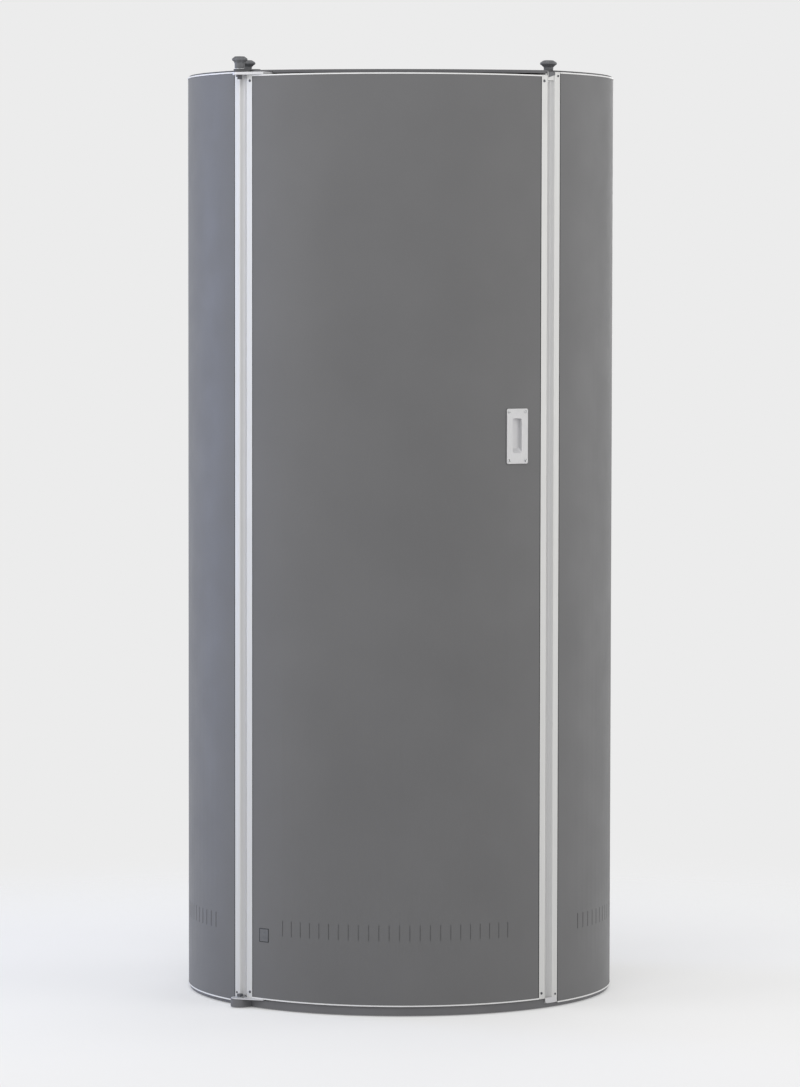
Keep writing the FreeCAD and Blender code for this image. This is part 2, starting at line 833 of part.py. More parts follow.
def cable_gland():
    nut_top = height + gland_nut_h
    low = roof_under - 2 * junction_wall
    body = joined([hexagon(gland_nut_r, height, nut_top, 0, gland_y),
                   disc(gland_cap_r, nut_top, nut_top + gland_cap_h, 0, gland_y),
                   disc(gland_thread_r, low, height, 0, gland_y)])
    return body.cut(disc(gland_bore_r, low, nut_top + gland_cap_h, 0, gland_y))


box_back = cabin_r - 2 * seat
box_front = box_back - box_depth
button_levels = (box_z + button_pitch / 2, box_z - button_pitch / 2)


def control_box():
    outer = block(-box_w / 2, box_w / 2, -box_back, -box_front, box_z - box_h / 2, box_z + box_h / 2)
    outer = outer.makeFillet(2 * box_wall, edges_along_y(outer, -box_back, -box_front))
    inner = block(-box_w / 2 + box_wall, box_w / 2 - box_wall, -box_back, -box_front - box_wall,
                  box_z - box_h / 2 + box_wall, box_z + box_h / 2 - box_wall)
    bores = []
    for z in button_levels:
        bores.append(Part.makeCylinder(button_r + run, 10, FreeCAD.Vector(0, -box_front + 2, z),
                                       FreeCAD.Vector(0, -1, 0)))
    return turned(outer.cut([inner] + bores), rear_post)


def push_button(z):
    """Button with a retaining flange behind the box's front."""
    v = FreeCAD.Vector
    stem = Part.makeCylinder(button_r, button_proud + 12, v(0, -box_front + button_proud, z), v(0, -1, 0))
    rim = Part.makeCylinder(button_r + 2, 2, v(0, -box_front - box_wall - seat, z), v(0, -1, 0))
    return turned(joined([stem, rim]), rear_post)


# ---- cabin fittings

def grab_handle(side):
    loop = bar_loop(grab_span, grab_drop, grab_bar_r)
    loop = loop.rotated(FreeCAD.Vector(0, 0, 0), FreeCAD.Vector(0, 0, 1), 90)
    return loop.translated(FreeCAD.Vector(side * grab_x, 0, ceiling_z))


def inner_pull():
    """Bow handle on the inside of the latch stile, its grip upright."""
    v = FreeCAD.Vector
    loop = bar_loop(pull_span, pull_drop, pull_bar_r)
    loop = loop.rotated(v(0, 0, 0), v(0, 1, 0), 90).rotated(v(0, 0, 0), v(0, 0, 1), -90)
    return turned(loop.translated(v(0, -cabin_r + seat, pull_z)), door_end - door_lip / 2 - 0.2)


# ---- hinge pieces

def hinge_lugs():
    hole = disc(pin_r + run, 0, height + 10, pivot.x, pivot.y)
    lower = lug_outline(lower_lug_end_r, 0, base_gap, base_h).cut(disc(rim_r + 0.2, 0, base_h))
    eye = lug_outline(upper_lug_end_r, 0, upper_lug_z, height).cut(disc(rim_r + 0.2, 0, height))
    upper = joined([eye, lug_outline(upper_lug_end_r, 0, height, height + upper_lug_t)])
    return [upper.cut(hole), lower.cut(hole)]


def hinge_pins():
    """Upper pin with its square nut, and the lower bolt."""
    nut_top = door_top - seat
    nut = block(-square_nut / 2, square_nut / 2, -square_nut / 2, square_nut / 2, nut_top - square_nut_h,
                nut_top)
    nut = nut.translated(pivot)
    upper_end = height + upper_lug_t + washer_t + knob_bore - 1
    upper = joined([nut, disc(pin_r, nut_top - 0.1, upper_end, pivot.x, pivot.y)])
    head_z = lower_plate_z2 + seat + washer_t
    lower = joined([disc(pin_r, base_gap + 2, head_z, pivot.x, pivot.y),
                    hexagon(bolt_head_r, head_z, head_z + bolt_head_h, pivot.x, pivot.y)])
    return [upper, lower]


def hinge_knob():
    z = height + upper_lug_t + washer_t + seat
    return knob(pivot.x, pivot.y, z, hinge_knob_d, hinge_knob_stem, hinge_knob_h)


def door_hinge_plates():
    """Plates under and over the door's hinge corner, bored for the bushes."""
    hole = disc(bush_r + run, 0, height, pivot.x, pivot.y)
    flat = hinge_plate_outline(lower_plate_end_r, 0, lower_plate_z1, lower_plate_z2)
    pad = hinge_plate_outline(lower_plate_end_r, 0, lower_plate_z2, door_rail_z)
    pad = pad.common(disc(rail_r2, 0, height))
    pad = pad.common(sector(cabin_r, rim_r, -door_end + 0.4, 0, 0, height))
    lower = joined([flat, pad])
    upper = hinge_plate_outline(upper_plate_end_r, 0, door_top, upper_plate_z2)
    return [upper.cut(hole), lower.cut(hole)]


def hinge_bushes():
    return [tube(pin_r + run, bush_r, door_top, upper_plate_z2, pivot.x, pivot.y),
            tube(pin_r + run, bush_r, lower_plate_z1, lower_plate_z2, pivot.x, pivot.y)]


# ---- door

def stile_screw_points():
    return [(side * stile_screw_angle, z) for side in (-1, 1)
            for z in (door_z1 + stile_screw_inset, door_top - stile_screw_inset)]


def stile():
    """Right-hand door stile: outer strip, rebate for the skin, web and inner lip."""
    strip_r1 = frame_r - lip_t
    strip_a1 = panel_end + panel_joint
    web = door_end - 0.9 * door_web
    return joined([sector(strip_r1, outer_r, strip_a1, door_end, door_z1, door_top),
                   sector(strip_r1, frame_r, panel_end - rebate_angle, strip_a1, door_z1 + trim_h + seat,
                          door_z2 - trim_h - seat),
                   sector(cabin_r, strip_r1, web, door_end, door_z1, door_top),
                   sector(cabin_r, lip_r2, door_end - door_lip, web, door_z1, door_top)])


def door_latch_stile():
    return stile().cut([screw_hole(a, z) for a, z in stile_screw_points() if a > 0])


def door_hinge_stile():
    holes = [screw_hole(a, z) for a, z in stile_screw_points() if a < 0]
    return mirrored(stile()).cut(holes)


def catch_strikes():
    strikes = []
    for z, front_r in catch_places:
        thickness = math.degrees(strike_t / outer_r)
        strikes.append(sector(front_r - catch_depth, front_r - strike_drop, door_end, door_end + thickness,
                              z, z + catch_h))
    return strikes


def handle_points():
    return [(sx * handle_screw_x, handle_z + sz * handle_screw_z) for sx in (-1, 1) for sz in (-1, 1)]


def rounded_block(w, h, corner, y1, y2):
    """Upright block centred on the handle, its four long corners rounded."""
    body = block(-w / 2, w / 2, y1, y2, handle_z - h / 2, handle_z + h / 2)
    return body.makeFillet(corner, edges_along_y(body, y1, y2))


plate_back = outer_r + 0.2
plate_front = plate_back + handle_t


def handle_drill(x, z):
    return Part.makeCylinder(screw_r + run, 12, FreeCAD.Vector(x, -plate_front - 1, z), FreeCAD.Vector(0, 1, 0))


def pull_handle():
    plate = rounded_block(handle_w, handle_h, handle_corner, -plate_front, -plate_back)
    front = [e for e in plate.Edges if e.BoundBox.YMax < -plate_front + 0.01]
    plate = plate.makeFillet(0.4 * handle_t, front)
    cup_y = -plate_front + cup_depth
    cup = rounded_block(cup_w + 2 * cup_wall, cup_h + 2 * cup_wall, cup_corner, -plate_back, cup_y + cup_wall)
    recess = rounded_block(cup_w, cup_h, cup_corner - cup_wall, -plate_front - 1, cup_y)
    floor = [e for e in recess.Edges if e.BoundBox.YMin > cup_y - 0.01]
    recess = recess.makeFillet(3, floor)
    body = joined([plate, cup]).cut([recess] + [handle_drill(x, z) for x, z in handle_points()])
    return turned(body, handle_angle)


def door_screws():
    """Stile screws and the pull handle's four screws."""
    screws = [screw(angle, z, outer_r, stile_head_r) for angle, z in stile_screw_points()]
    v = FreeCAD.Vector
    for x, z in handle_points():
        front = v(x, -plate_front - handle_head_h, z)
        head = Part.makeCylinder(handle_head_r, handle_head_h, front, v(0, 1, 0))
        shank = Part.makeCylinder(screw_r, screw_len, v(x, -plate_front, z), v(0, 1, 0))
        screws.append(turned(head.fuse(shank), handle_angle))
    return screws


def door_panel():
    skin = sector(skin_r1, outer_r, -panel_end, panel_end, door_z1 + trim_wall + trim_gap,
                  door_z2 - trim_wall - trim_gap)
    room = 2 * (cup_wall + trim_gap)
    window = rounded_block(cup_w + room, cup_h + room, cup_corner, -outer_r - 5, -outer_r + 10)
    cuts = vent_slots(door_slots, door_slot_pitch, 0) + [turned(window, handle_angle)]
    cuts += [turned(handle_drill(x, z), handle_angle) for x, z in handle_points()]
    return skin.cut(cuts)


def door_catches():
    return [catch_body(z, front_r, 0) for z, front_r in catch_places]


def post_screws():
    return [screw(side * post_screw_angle, z) for side in (-1, 1) for z in post_screw_levels]


# ---- one STEP file for each named piece

parts = {
    "base_tray": base_tray(),
    "feet": feet(),
    "floor_mat": floor_mat(),
    "hinge_post": hinge_post(),
    "latch_post": latch_post(),
    "rear_posts": rear_posts(),
    "left_panel": wall_skin(*wall_spans["left"]),
    "right_panel": wall_skin(*wall_spans["right"]),
    "rear_panel": wall_skin(*wall_spans["rear"]),
    "panel_edge_trims": wall_trims(),
    "post_screws": post_screws(),
    "roof_panel": roof_panel(),
    "roof_studs": roof_studs(),
    "roof_washers": washers(),
    "roof_knob_left": roof_knob(-1),
    "roof_knob_right": roof_knob(1),
    "ceiling_panel": ceiling_panel(),
    "ceiling_spacers": ceiling_spacers(),
    "ceiling_grille": ring_grille(ceiling_z - grille_t, ceiling_z, grille_rings),
    "fan_shroud": fan_shroud(),
    "fan_motor": fan_motor(),
    "fan_impeller": fan_impeller(),
    "fan_guard": ring_grille(height, height + guard_t, guard_rings),
    "cabinet_lamp_rails": cabinet_lamp_rails(),
    "cabinet_lamps": lamp_tubes(cabinet_lamp_angles),
    "cabinet_lamp_caps": lamp_caps(cabinet_lamp_angles),
    "cabinet_lampholders": lampholders(cabinet_lamp_angles, base_h + rail_t, post_top),
    "cabinet_reflectors": cabinet_reflectors(),
    "left_shield": wall_shield(270),
    "right_shield": wall_shield(90),
    "rear_shield": wall_shield(180),
    "ballasts": ballasts(),
    "junction_box": junction_box(),
    "cable_gland": cable_gland(),
    "control_box": control_box(),
    "start_button": push_button(button_levels[0]),
    "stop_button": push_button(button_levels[1]),
    "grab_handle_left": grab_handle(-1),
    "grab_handle_right": grab_handle(1),
    "hinge_lugs": hinge_lugs(),
    "hinge_pins": hinge_pins(),
    "hinge_knob": hinge_knob(),
    "door_catches": door_catches(),
    "door_panel": door_panel(),
    "door_edge_trims": edge_trims(-panel_end, panel_end, door_z1, door_z2),
    "door_hinge_stile": door_hinge_stile(),
    "door_latch_stile": door_latch_stile(),
    "door_rails": door_rails(),
    "door_hinge_plates": door_hinge_plates(),
    "hinge_bushes": hinge_bushes(),
    "door_screws": door_screws(),
    "pull_handle": pull_handle(),
    "inner_pull": inner_pull(),
    "catch_strikes": catch_strikes(),
    "door_lamps": lamp_tubes(door_lamp_angles),
    "door_lamp_caps": lamp_caps(door_lamp_angles),
    "door_lampholders": lampholders(door_lamp_angles, door_rail_z + rail_t, door_top - rail_t),
    "door_reflector": door_reflector(),
    "door_shield": door_shield(),
}

os.makedirs("parts", exist_ok=True)
for name, made in parts.items():
    shape = Part.makeCompound(made) if isinstance(made, list) else made
    shape.exportStep("parts/" + name + ".step")
    print(name, len(shape.Solids), shape.isValid())
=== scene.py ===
import bmesh
import bpy
import json
import math
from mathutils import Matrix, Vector

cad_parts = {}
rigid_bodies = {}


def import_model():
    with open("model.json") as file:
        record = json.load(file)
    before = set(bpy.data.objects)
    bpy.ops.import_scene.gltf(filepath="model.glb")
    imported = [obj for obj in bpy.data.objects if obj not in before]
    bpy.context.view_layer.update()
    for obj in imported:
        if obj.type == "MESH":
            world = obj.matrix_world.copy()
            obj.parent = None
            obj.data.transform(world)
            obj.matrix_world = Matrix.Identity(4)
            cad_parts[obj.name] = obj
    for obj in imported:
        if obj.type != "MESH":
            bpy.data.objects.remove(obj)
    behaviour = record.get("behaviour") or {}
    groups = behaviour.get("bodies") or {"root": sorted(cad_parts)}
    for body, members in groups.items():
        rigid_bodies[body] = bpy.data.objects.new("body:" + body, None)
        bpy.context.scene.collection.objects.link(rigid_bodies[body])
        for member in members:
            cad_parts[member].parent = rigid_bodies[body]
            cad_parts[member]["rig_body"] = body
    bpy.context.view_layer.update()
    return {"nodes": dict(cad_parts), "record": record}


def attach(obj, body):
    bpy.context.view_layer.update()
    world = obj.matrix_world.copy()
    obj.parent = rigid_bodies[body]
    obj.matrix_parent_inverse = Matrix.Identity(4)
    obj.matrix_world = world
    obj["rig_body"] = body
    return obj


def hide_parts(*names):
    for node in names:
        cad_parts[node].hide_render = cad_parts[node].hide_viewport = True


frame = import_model()
print("frame loaded:", len(frame["nodes"]), "nodes")

mm = 0.001
skin = 500      # outside radius of the skins, in mm


# small tools for materials

def linear(hexColour, alpha=1.0):
    parts = [int(hexColour[i:i + 2], 16) / 255 for i in (0, 2, 4)]
    return [((c + 0.055) / 1.055) ** 2.4 if c > 0.04045 else c / 12.92 for c in parts] + [alpha]


def addNode(tree, kind, settings=None, links=None):
    # settings go to the node's own options or to its sockets, links to its sockets
    node = tree.nodes.new(kind)
    for key, value in (settings or {}).items():
        if isinstance(key, str) and hasattr(node, key):
            setattr(node, key, value)
        else:
            node.inputs[key].default_value = value
    for key, source in (links or {}).items():
        tree.links.new(source, node.inputs[key])
    return node


def newMaterial(name, settings):
    # a shader with its constant values, on the piece's own coordinates
    material = bpy.data.materials.new(name)
    material.use_nodes = True
    tree = material.node_tree
    tree.nodes.clear()
    shader = addNode(tree, "ShaderNodeBsdfPrincipled", settings)
    addNode(tree, "ShaderNodeOutputMaterial", None, {"Surface": shader.outputs["BSDF"]})
    place = addNode(tree, "ShaderNodeTexCoord").outputs["Object"]
    return material, tree, shader, place


def grain(tree, place, sizeMm, detail=2.0, stretch=(1, 1, 1)):
    # noise whose cells are about sizeMm across, drawn out along an axis by a stretch under 1
    turned = addNode(tree, "ShaderNodeMapping", {"Scale": stretch}, {"Vector": place})
    noise = addNode(tree, "ShaderNodeTexNoise", {"Scale": 1000 / sizeMm, "Detail": detail},
                    {"Vector": turned.outputs["Vector"]})
    return noise.outputs["Fac"]


def spread(tree, value, low, high, fromLow=0.3, fromHigh=0.7):
    # a value brought to the range low to high; noise lies mostly between 0.3 and 0.7
    return addNode(tree, "ShaderNodeMapRange", {"From Min": fromLow, "From Max": fromHigh,
                   "To Min": low, "To Max": high}, {"Value": value}).outputs["Result"]


def blend(tree, factor, first, second):
    # two colours, or a colour and a socket, mixed by a factor socket
    settings = {"data_type": "RGBA"}
    links = {0: factor}
    for place, colour in ((6, first), (7, second)):
        if isinstance(colour, str):
            settings[place] = linear(colour)
        else:
            links[place] = colour
    return addNode(tree, "ShaderNodeMix", settings, links).outputs[2]


def combine(tree, operation, first, second):
    # one value from two, such as their sum
    return addNode(tree, "ShaderNodeMath", {"operation": operation}, {0: first, 1: second}).outputs[0]


def relief(tree, shader, height, depthMm):
    # a bump of that depth
    bump = addNode(tree, "ShaderNodeBump", {"Strength": 1.0, "Distance": depthMm * mm},
                   {"Height": height})
    tree.links.new(bump.outputs["Normal"], shader.inputs["Normal"])


def heightOf(tree, place):
    # height above the floor, in metres
    return addNode(tree, "ShaderNodeSeparateXYZ", None, {"Vector": place}).outputs["Z"]


def planRadius(tree, place):
    # distance from the booth's upright axis, in metres
    flat = addNode(tree, "ShaderNodeVectorMath", {"operation": "MULTIPLY", 1: (1, 1, 0)}, {0: place})
    return addNode(tree, "ShaderNodeVectorMath", {"operation": "LENGTH"},
                   {0: flat.outputs["Vector"]}).outputs["Value"]


# finishes

def powderCoat(name, look):
    # polyester powder coat on sheet steel: an even colour, a soft satin sheen and a fine orange peel
    material, tree, shader, place = newMaterial(name, {"IOR": 1.5, "Specular IOR Level": 0.22})
    cloud = grain(tree, place, look["cloudMm"], 3.0)
    fleck = grain(tree, place, look["fleckMm"], 1.0)
    body = blend(tree, spread(tree, cloud, 0, 1), look["dark"], look["light"])
    colour = blend(tree, spread(tree, fleck, 0, look["fleckShare"], 0.55, 0.8), body, look["fleck"])
    if "rim" in look:
        # painted shade: darker on the roof's rim, where it overhangs the walls
        high = spread(tree, heightOf(tree, place), 0, 1, *look["rimHeights"])
        outer = spread(tree, planRadius(tree, place), 0, 1, *look["rimRadii"])
        colour = blend(tree, combine(tree, "MULTIPLY", high, outer), colour, look["rim"])
    tree.links.new(colour, shader.inputs["Base Color"])
    rough = spread(tree, grain(tree, place, look["cloudMm"] * 0.4, 4.0), look["rough"] - 0.04,
                   look["rough"] + 0.05)
    tree.links.new(rough, shader.inputs["Roughness"])
    relief(tree, shader, grain(tree, place, look["peelMm"], 2.0), look["peelDepth"])
    return material


def drawnAluminium(name, look):
    # satin anodised extrusion: fine die lines along its length, a milky metal sheen
    material, tree, shader, place = newMaterial(name, {"Metallic": look["metallic"],
                                                       "Anisotropic": 0.3})
    lines = grain(tree, place, look["lineMm"], 3.0, look["stretch"])
    cloud = grain(tree, place, look["cloudMm"], 2.0)
    colour = blend(tree, spread(tree, lines, 0, 1), look["dark"], look["light"])
    if "groove" in look:
        # painted shade: darker in a channel or recess; it fades in between two distances from the axis,
        # in metres, which a flat face measures along the way it faces
        away = planRadius(tree, place)
        if "facing" in look:
            away = addNode(tree, "ShaderNodeVectorMath",
                           {"operation": "DOT_PRODUCT", 1: look["facing"]}, {0: place}).outputs["Value"]
        colour = blend(tree, spread(tree, away, 1, 0, *look["depths"]), colour, look["groove"])
    tree.links.new(colour, shader.inputs["Base Color"])
    fine = spread(tree, lines, look["rough"] - 0.05, look["rough"] + 0.05)
    tree.links.new(combine(tree, "ADD", fine, spread(tree, cloud, -0.03, 0.04)),
                   shader.inputs["Roughness"])
    relief(tree, shader, lines, look["lineDepth"])
    return material


def mouldedPlastic(name, look):
    # injection moulded part: spark-eroded grain from the tool and slightly paler worn spots
    material, tree, shader, place = newMaterial(name, {"IOR": 1.5, "Specular IOR Level": 0.5})
    texture = grain(tree, place, look["grainMm"], 2.0)
    wear = grain(tree, place, look["wearMm"], 4.0)
    colour = blend(tree, spread(tree, wear, 0, 1, 0.35, 0.7), look["dark"], look["light"])
    tree.links.new(colour, shader.inputs["Base Color"])
    tree.links.new(spread(tree, wear, look["rough"] - 0.06, look["rough"] + 0.06),
                   shader.inputs["Roughness"])
    relief(tree, shader, texture, look["grainDepth"])
    return material


def rubber(name, look):
    # cured rubber: dull, nearly black, dusted in its pores
    material, tree, shader, place = newMaterial(name, {"IOR": 1.52, "Specular IOR Level": 0.35})
    pores = grain(tree, place, look["poreMm"], 3.0)
    dust = grain(tree, place, look["dustMm"], 5.0)
    colour = blend(tree, spread(tree, dust, 0, 0.6, 0.4, 0.75), look["dark"], look["light"])
    tree.links.new(colour, shader.inputs["Base Color"])
    tree.links.new(spread(tree, dust, 0.62, 0.85), shader.inputs["Roughness"])
    relief(tree, shader, pores, look["poreDepth"])
    return material


def platedSteel(name, look):
    # machined and plated steel: fine tool marks, cloudy plating
    material, tree, shader, place = newMaterial(name, {"Metallic": 1.0})
    marks = grain(tree, place, look["markMm"], 4.0, look["stretch"])
    cloud = grain(tree, place, look["cloudMm"], 3.0)
    colour = blend(tree, spread(tree, cloud, 0, 1), look["dark"], look["light"])
    tree.links.new(colour, shader.inputs["Base Color"])
    tree.links.new(spread(tree, marks, look["rough"] - 0.08, look["rough"] + 0.1),
                   shader.inputs["Roughness"])
    relief(tree, shader, marks, look["markDepth"])
    return material


def phosphorGlass(name, look):
    # fluorescent tube: clear glass with a chalky phosphor coat inside, thinner and greyer at the ends
    material, tree, shader, place = newMaterial(name, {"IOR": 1.5, "Coat Weight": 1.0,
                                                       "Coat Roughness": 0.03, "Coat IOR": 1.5})
    fromMiddle = addNode(tree, "ShaderNodeMath", {"operation": "SUBTRACT", 1: look["middle"]},
                         {0: heightOf(tree, place)})
    away = addNode(tree, "ShaderNodeMath", {"operation": "ABSOLUTE"}, {0: fromMiddle.outputs[0]})
    ends = spread(tree, away.outputs[0], 0, 1, *look["endsFrom"])
    coat = blend(tree, spread(tree, grain(tree, place, look["chalkMm"], 3.0), 0, 1), look["dark"],
                 look["light"])
    tree.links.new(blend(tree, ends, coat, look["ends"]), shader.inputs["Base Color"])
    tree.links.new(spread(tree, grain(tree, place, look["sheenMm"], 2.0), 0.45, 0.6),
                   shader.inputs["Roughness"])
    return material


def clearAcrylic(name, look):
    # cast UV-clear acrylic sheet: glossy, faintly violet, with fine hairlines from wiping
    material, tree, shader, place = newMaterial(name, {"IOR": 1.49, "Transmission Weight": 1.0})
    hairs = grain(tree, place, look["hairMm"], 2.0, look["stretch"])
    tint = blend(tree, spread(tree, grain(tree, place, look["tintMm"], 2.0), 0, 1), look["dark"],
                 look["light"])
    tree.links.new(tint, shader.inputs["Base Color"])
    tree.links.new(spread(tree, hairs, 0.01, 0.06, 0.5, 0.8), shader.inputs["Roughness"])
    return material


finishes = {
    # satin grey coat with a little aluminium flake; the peel is drawn twice as coarse as real to show
    "skin_paint": powderCoat("satinGreyPowderCoat", {
        "dark": "707071", "light": "747475", "fleck": "868688", "fleckShare": 0.25, "cloudMm": 220,
        "fleckMm": 1.4, "peelMm": 5, "peelDepth": 0.035, "rough": 0.48}),
    # dark grey textured coat, rougher than the skins; its rim colour is painted shade on the roof's
    # outer edge
    "base_enamel": powderCoat("darkGreyTexturedCoat", {
        "dark": "707072", "light": "777779", "fleck": "838386", "fleckShare": 0.3, "rim": "58585a",
        "rimHeights": (2.1415, 2.1425), "rimRadii": (0.4952, 0.4962), "cloudMm": 90,
        "fleckMm": 1.2, "peelMm": 2.2, "peelDepth": 0.06, "rough": 0.5}),
    "ceiling_white": powderCoat("whitePowderCoat", {
        "dark": "dcdcda", "light": "e3e3e1", "fleck": "ececea", "fleckShare": 0.2, "cloudMm": 120,
        "fleckMm": 1.5, "peelMm": 3, "peelDepth": 0.03, "rough": 0.45}),
    "ballast_case": powderCoat("whiteStoveEnamel", {
        "dark": "d0d0cc", "light": "dadad6", "fleck": "e4e4e0", "fleckShare": 0.2, "cloudMm": 60,
        "fleckMm": 1.5, "peelMm": 3, "peelDepth": 0.02, "rough": 0.35}),
    # painted shade: the channel in each post's face is coloured darker
    "post_aluminium": drawnAluminium("satinAnodisedExtrusion", {
        "metallic": 0.35, "lineMm": 0.9, "stretch": (1, 1, 0.004), "cloudMm": 45, "dark": "cdcdcc",
        "light": "d8d8d7", "groove": "bfbfc0", "depths": (0.4935, 0.4985), "rough": 0.5,
        "lineDepth": 0.006}),
    "plate_aluminium": drawnAluminium("satinAnodisedHingePlate", {
        "metallic": 0.45, "lineMm": 0.7, "stretch": (0.03, 1, 1), "cloudMm": 12, "dark": "c8c8ca",
        "light": "d8d8da", "rough": 0.46, "lineDepth": 0.006}),
    # painted shade: the finger recess, found by its depth behind the plate, takes a slightly darker
    # flat colour
    "handle_aluminium": drawnAluminium("satinAnodisedHandle", {
        "metallic": 0.25, "lineMm": 0.6, "stretch": (1, 1, 0.03), "cloudMm": 14, "dark": "c6c6c8",
        "light": "d2d2d3", "groove": "cacacc", "facing": (0.5505, -0.8348, 0),
        "depths": (0.4990, 0.5010), "rough": 0.48, "lineDepth": 0.006}),
    "grab_bar": drawnAluminium("polishedAnodisedBar", {
        "metallic": 1.0, "lineMm": 0.5, "stretch": (1, 0.05, 1), "cloudMm": 20, "dark": "cfd0d2",
        "light": "dfe0e2", "rough": 0.24, "lineDepth": 0.004}),
    # near-mirror sheet with faint rolling lines up it
    "reflector": drawnAluminium("brightRolledReflector", {
        "metallic": 1.0, "lineMm": 2.5, "stretch": (1, 1, 0.01), "cloudMm": 60, "dark": "e4e5e7",
        "light": "f0f1f2", "rough": 0.14, "lineDepth": 0.004}),
    "lamp_cap": platedSteel("satinAluminiumLampCap", {
        "dark": "bfc0c2", "light": "d2d3d5", "markMm": 0.5, "stretch": (1, 1, 8), "cloudMm": 8,
        "rough": 0.34, "markDepth": 0.006}),
    "washer_steel": platedSteel("zincPlatedSteel", {
        "dark": "b4b6b8", "light": "cacccd", "markMm": 0.6, "stretch": (1, 1, 1), "cloudMm": 5,
        "rough": 0.36, "markDepth": 0.008}),
    "screw_steel": platedSteel("blackenedSteel", {
        "dark": "55565a", "light": "6b6c70", "markMm": 0.5, "stretch": (1, 1, 3), "cloudMm": 4,
        "rough": 0.42, "markDepth": 0.01}),
    "bush_brass": platedSteel("turnedBrass", {
        "dark": "b08a48", "light": "cba764", "markMm": 0.4, "stretch": (1, 1, 8), "cloudMm": 5,
        "rough": 0.3, "markDepth": 0.008}),
    "trim_white": mouldedPlastic("extrudedWhiteVinyl", {
        "dark": "ececec", "light": "f3f3f3", "grainMm": 1.5, "grainDepth": 0.01, "wearMm": 30,
        "rough": 0.4}),
    "knob_plastic": mouldedPlastic("darkGreyNylon", {
        "dark": "606164", "light": "6e6f72", "grainMm": 0.8, "grainDepth": 0.03, "wearMm": 9,
        "rough": 0.52}),
    "control_plastic": mouldedPlastic("greyTexturedAbs", {
        "dark": "707176", "light": "7c7d82", "grainMm": 0.7, "grainDepth": 0.03, "wearMm": 30,
        "rough": 0.52}),
    "fan_plastic": mouldedPlastic("blackGlassFilledNylon", {
        "dark": "26272a", "light": "35363a", "grainMm": 0.9, "grainDepth": 0.03, "wearMm": 14,
        "rough": 0.5}),
    "holder_plastic": mouldedPlastic("whitePolycarbonate", {
        "dark": "d6d6d2", "light": "e2e2de", "grainMm": 1.0, "grainDepth": 0.01, "wearMm": 12,
        "rough": 0.33}),
    "button_green": mouldedPlastic("greenAcetal", {
        "dark": "1f7a3c", "light": "2b8f4b", "grainMm": 0.8, "grainDepth": 0.008, "wearMm": 8,
        "rough": 0.28}),
    "button_red": mouldedPlastic("redAcetal", {
        "dark": "a3211f", "light": "bd2f2b", "grainMm": 0.8, "grainDepth": 0.008, "wearMm": 8,
        "rough": 0.28}),
    "rubber_foot": rubber("blackRubber", {
        "dark": "222223", "light": "3a3a3b", "poreMm": 0.8, "poreDepth": 0.04, "dustMm": 12}),
    "mat_rubber": rubber("charcoalMatRubber", {
        "dark": "2c2d2f", "light": "46474a", "poreMm": 1.0, "poreDepth": 0.05, "dustMm": 60}),
    # the lamps' middle height and where their greyer ends begin and are full, in metres
    "lamp_glass": phosphorGlass("phosphorCoatedGlass", {
        "middle": 1.0795, "endsFrom": (0.90, 0.985), "chalkMm": 6, "sheenMm": 3, "dark": "dfe6ee",
        "light": "e9eef3", "ends": "8e9298"}),
    "acrylic": clearAcrylic("clearCastAcrylic", {
        "hairMm": 1.6, "stretch": (1, 1, 0.05), "tintMm": 180, "dark": "f1f4fb", "light": "f8f9fd"}),
}
nodeSlots = {part["node"]: part["material_slot"] for part in frame["record"]["subparts"]}
for name, node in frame["nodes"].items():
    node.material_slots[0].material = finishes[nodeSlots[name]]
print("finishes on the carried-over nodes:", len(finishes))


# small tools for modelling; sizes and places are in mm

near = 0.01     # corners this close count as level


def clearSelection():
    if bpy.context.mode != "OBJECT":
        bpy.ops.object.mode_set(mode="OBJECT")
    bpy.ops.object.select_all(action="DESELECT")


def hold(piece):
    clearSelection()
    piece.select_set(True)
    bpy.context.view_layer.objects.active = piece


def applyPlace(piece):
    hold(piece)
    bpy.ops.object.transform_apply(location=True, rotation=True, scale=True)
    return piece


def addBox(name, size, at):
    clearSelection()
    bpy.ops.mesh.primitive_cube_add(size=1, location=[c * mm for c in at])
    piece = bpy.context.object
    piece.name = piece.data.name = name
    piece.scale = [s * mm for s in size]
    return applyPlace(piece)


def addSlab(name, size, outside, z=0):
    # a box at the front of the booth whose outer face is that far from the axis
    return addBox(name, size, (0, -outside + size[1] / 2, z))


def addDrum(name, radius, depth, at, sides, lying=False):
    # upright, or lying with its ends to the front and the back
    clearSelection()
    bpy.ops.mesh.primitive_cylinder_add(vertices=sides, radius=radius * mm, depth=depth * mm,
                                        location=[c * mm for c in at],
                                        rotation=(math.radians(90) if lying else 0, 0, 0))
    piece = bpy.context.object
    piece.name = piece.data.name = name
    return applyPlace(piece)


def middle(part):
    # centre of a corner, an edge or a face, in mm
    corners = [part.co] if isinstance(part, bmesh.types.BMVert) else [v.co for v in part.verts]
    return sum(corners, Vector()) / len(corners) / mm


def pick(piece, kind, test):
    # edit mode, with only those faces, edges or corners selected that pass the test on their
    # centre and themselves
    hold(piece)
    bpy.ops.object.mode_set(mode="EDIT")
    bpy.ops.mesh.select_mode(type=kind)
    bpy.ops.mesh.select_all(action="DESELECT")
    mesh = bmesh.from_edit_mesh(piece.data)
    parts = {"FACE": mesh.faces, "EDGE": mesh.edges, "VERT": mesh.verts}[kind]
    for part in parts:
        if test(middle(part), part):
            part.select_set(True)
    mesh.select_flush_mode()
    bmesh.update_edit_mesh(piece.data)


def runsAlong(axis):
    # a test for edges that run along x, y or z
    return lambda c, e: abs(getattr((e.verts[0].co - e.verts[1].co).normalized(), axis)) > 0.9


def levelAt(axis, level):
    # a test for edges with both ends at that x, y or z
    return lambda c, e: all(abs(getattr(v.co, axis) / mm - level) < near for v in e.verts)


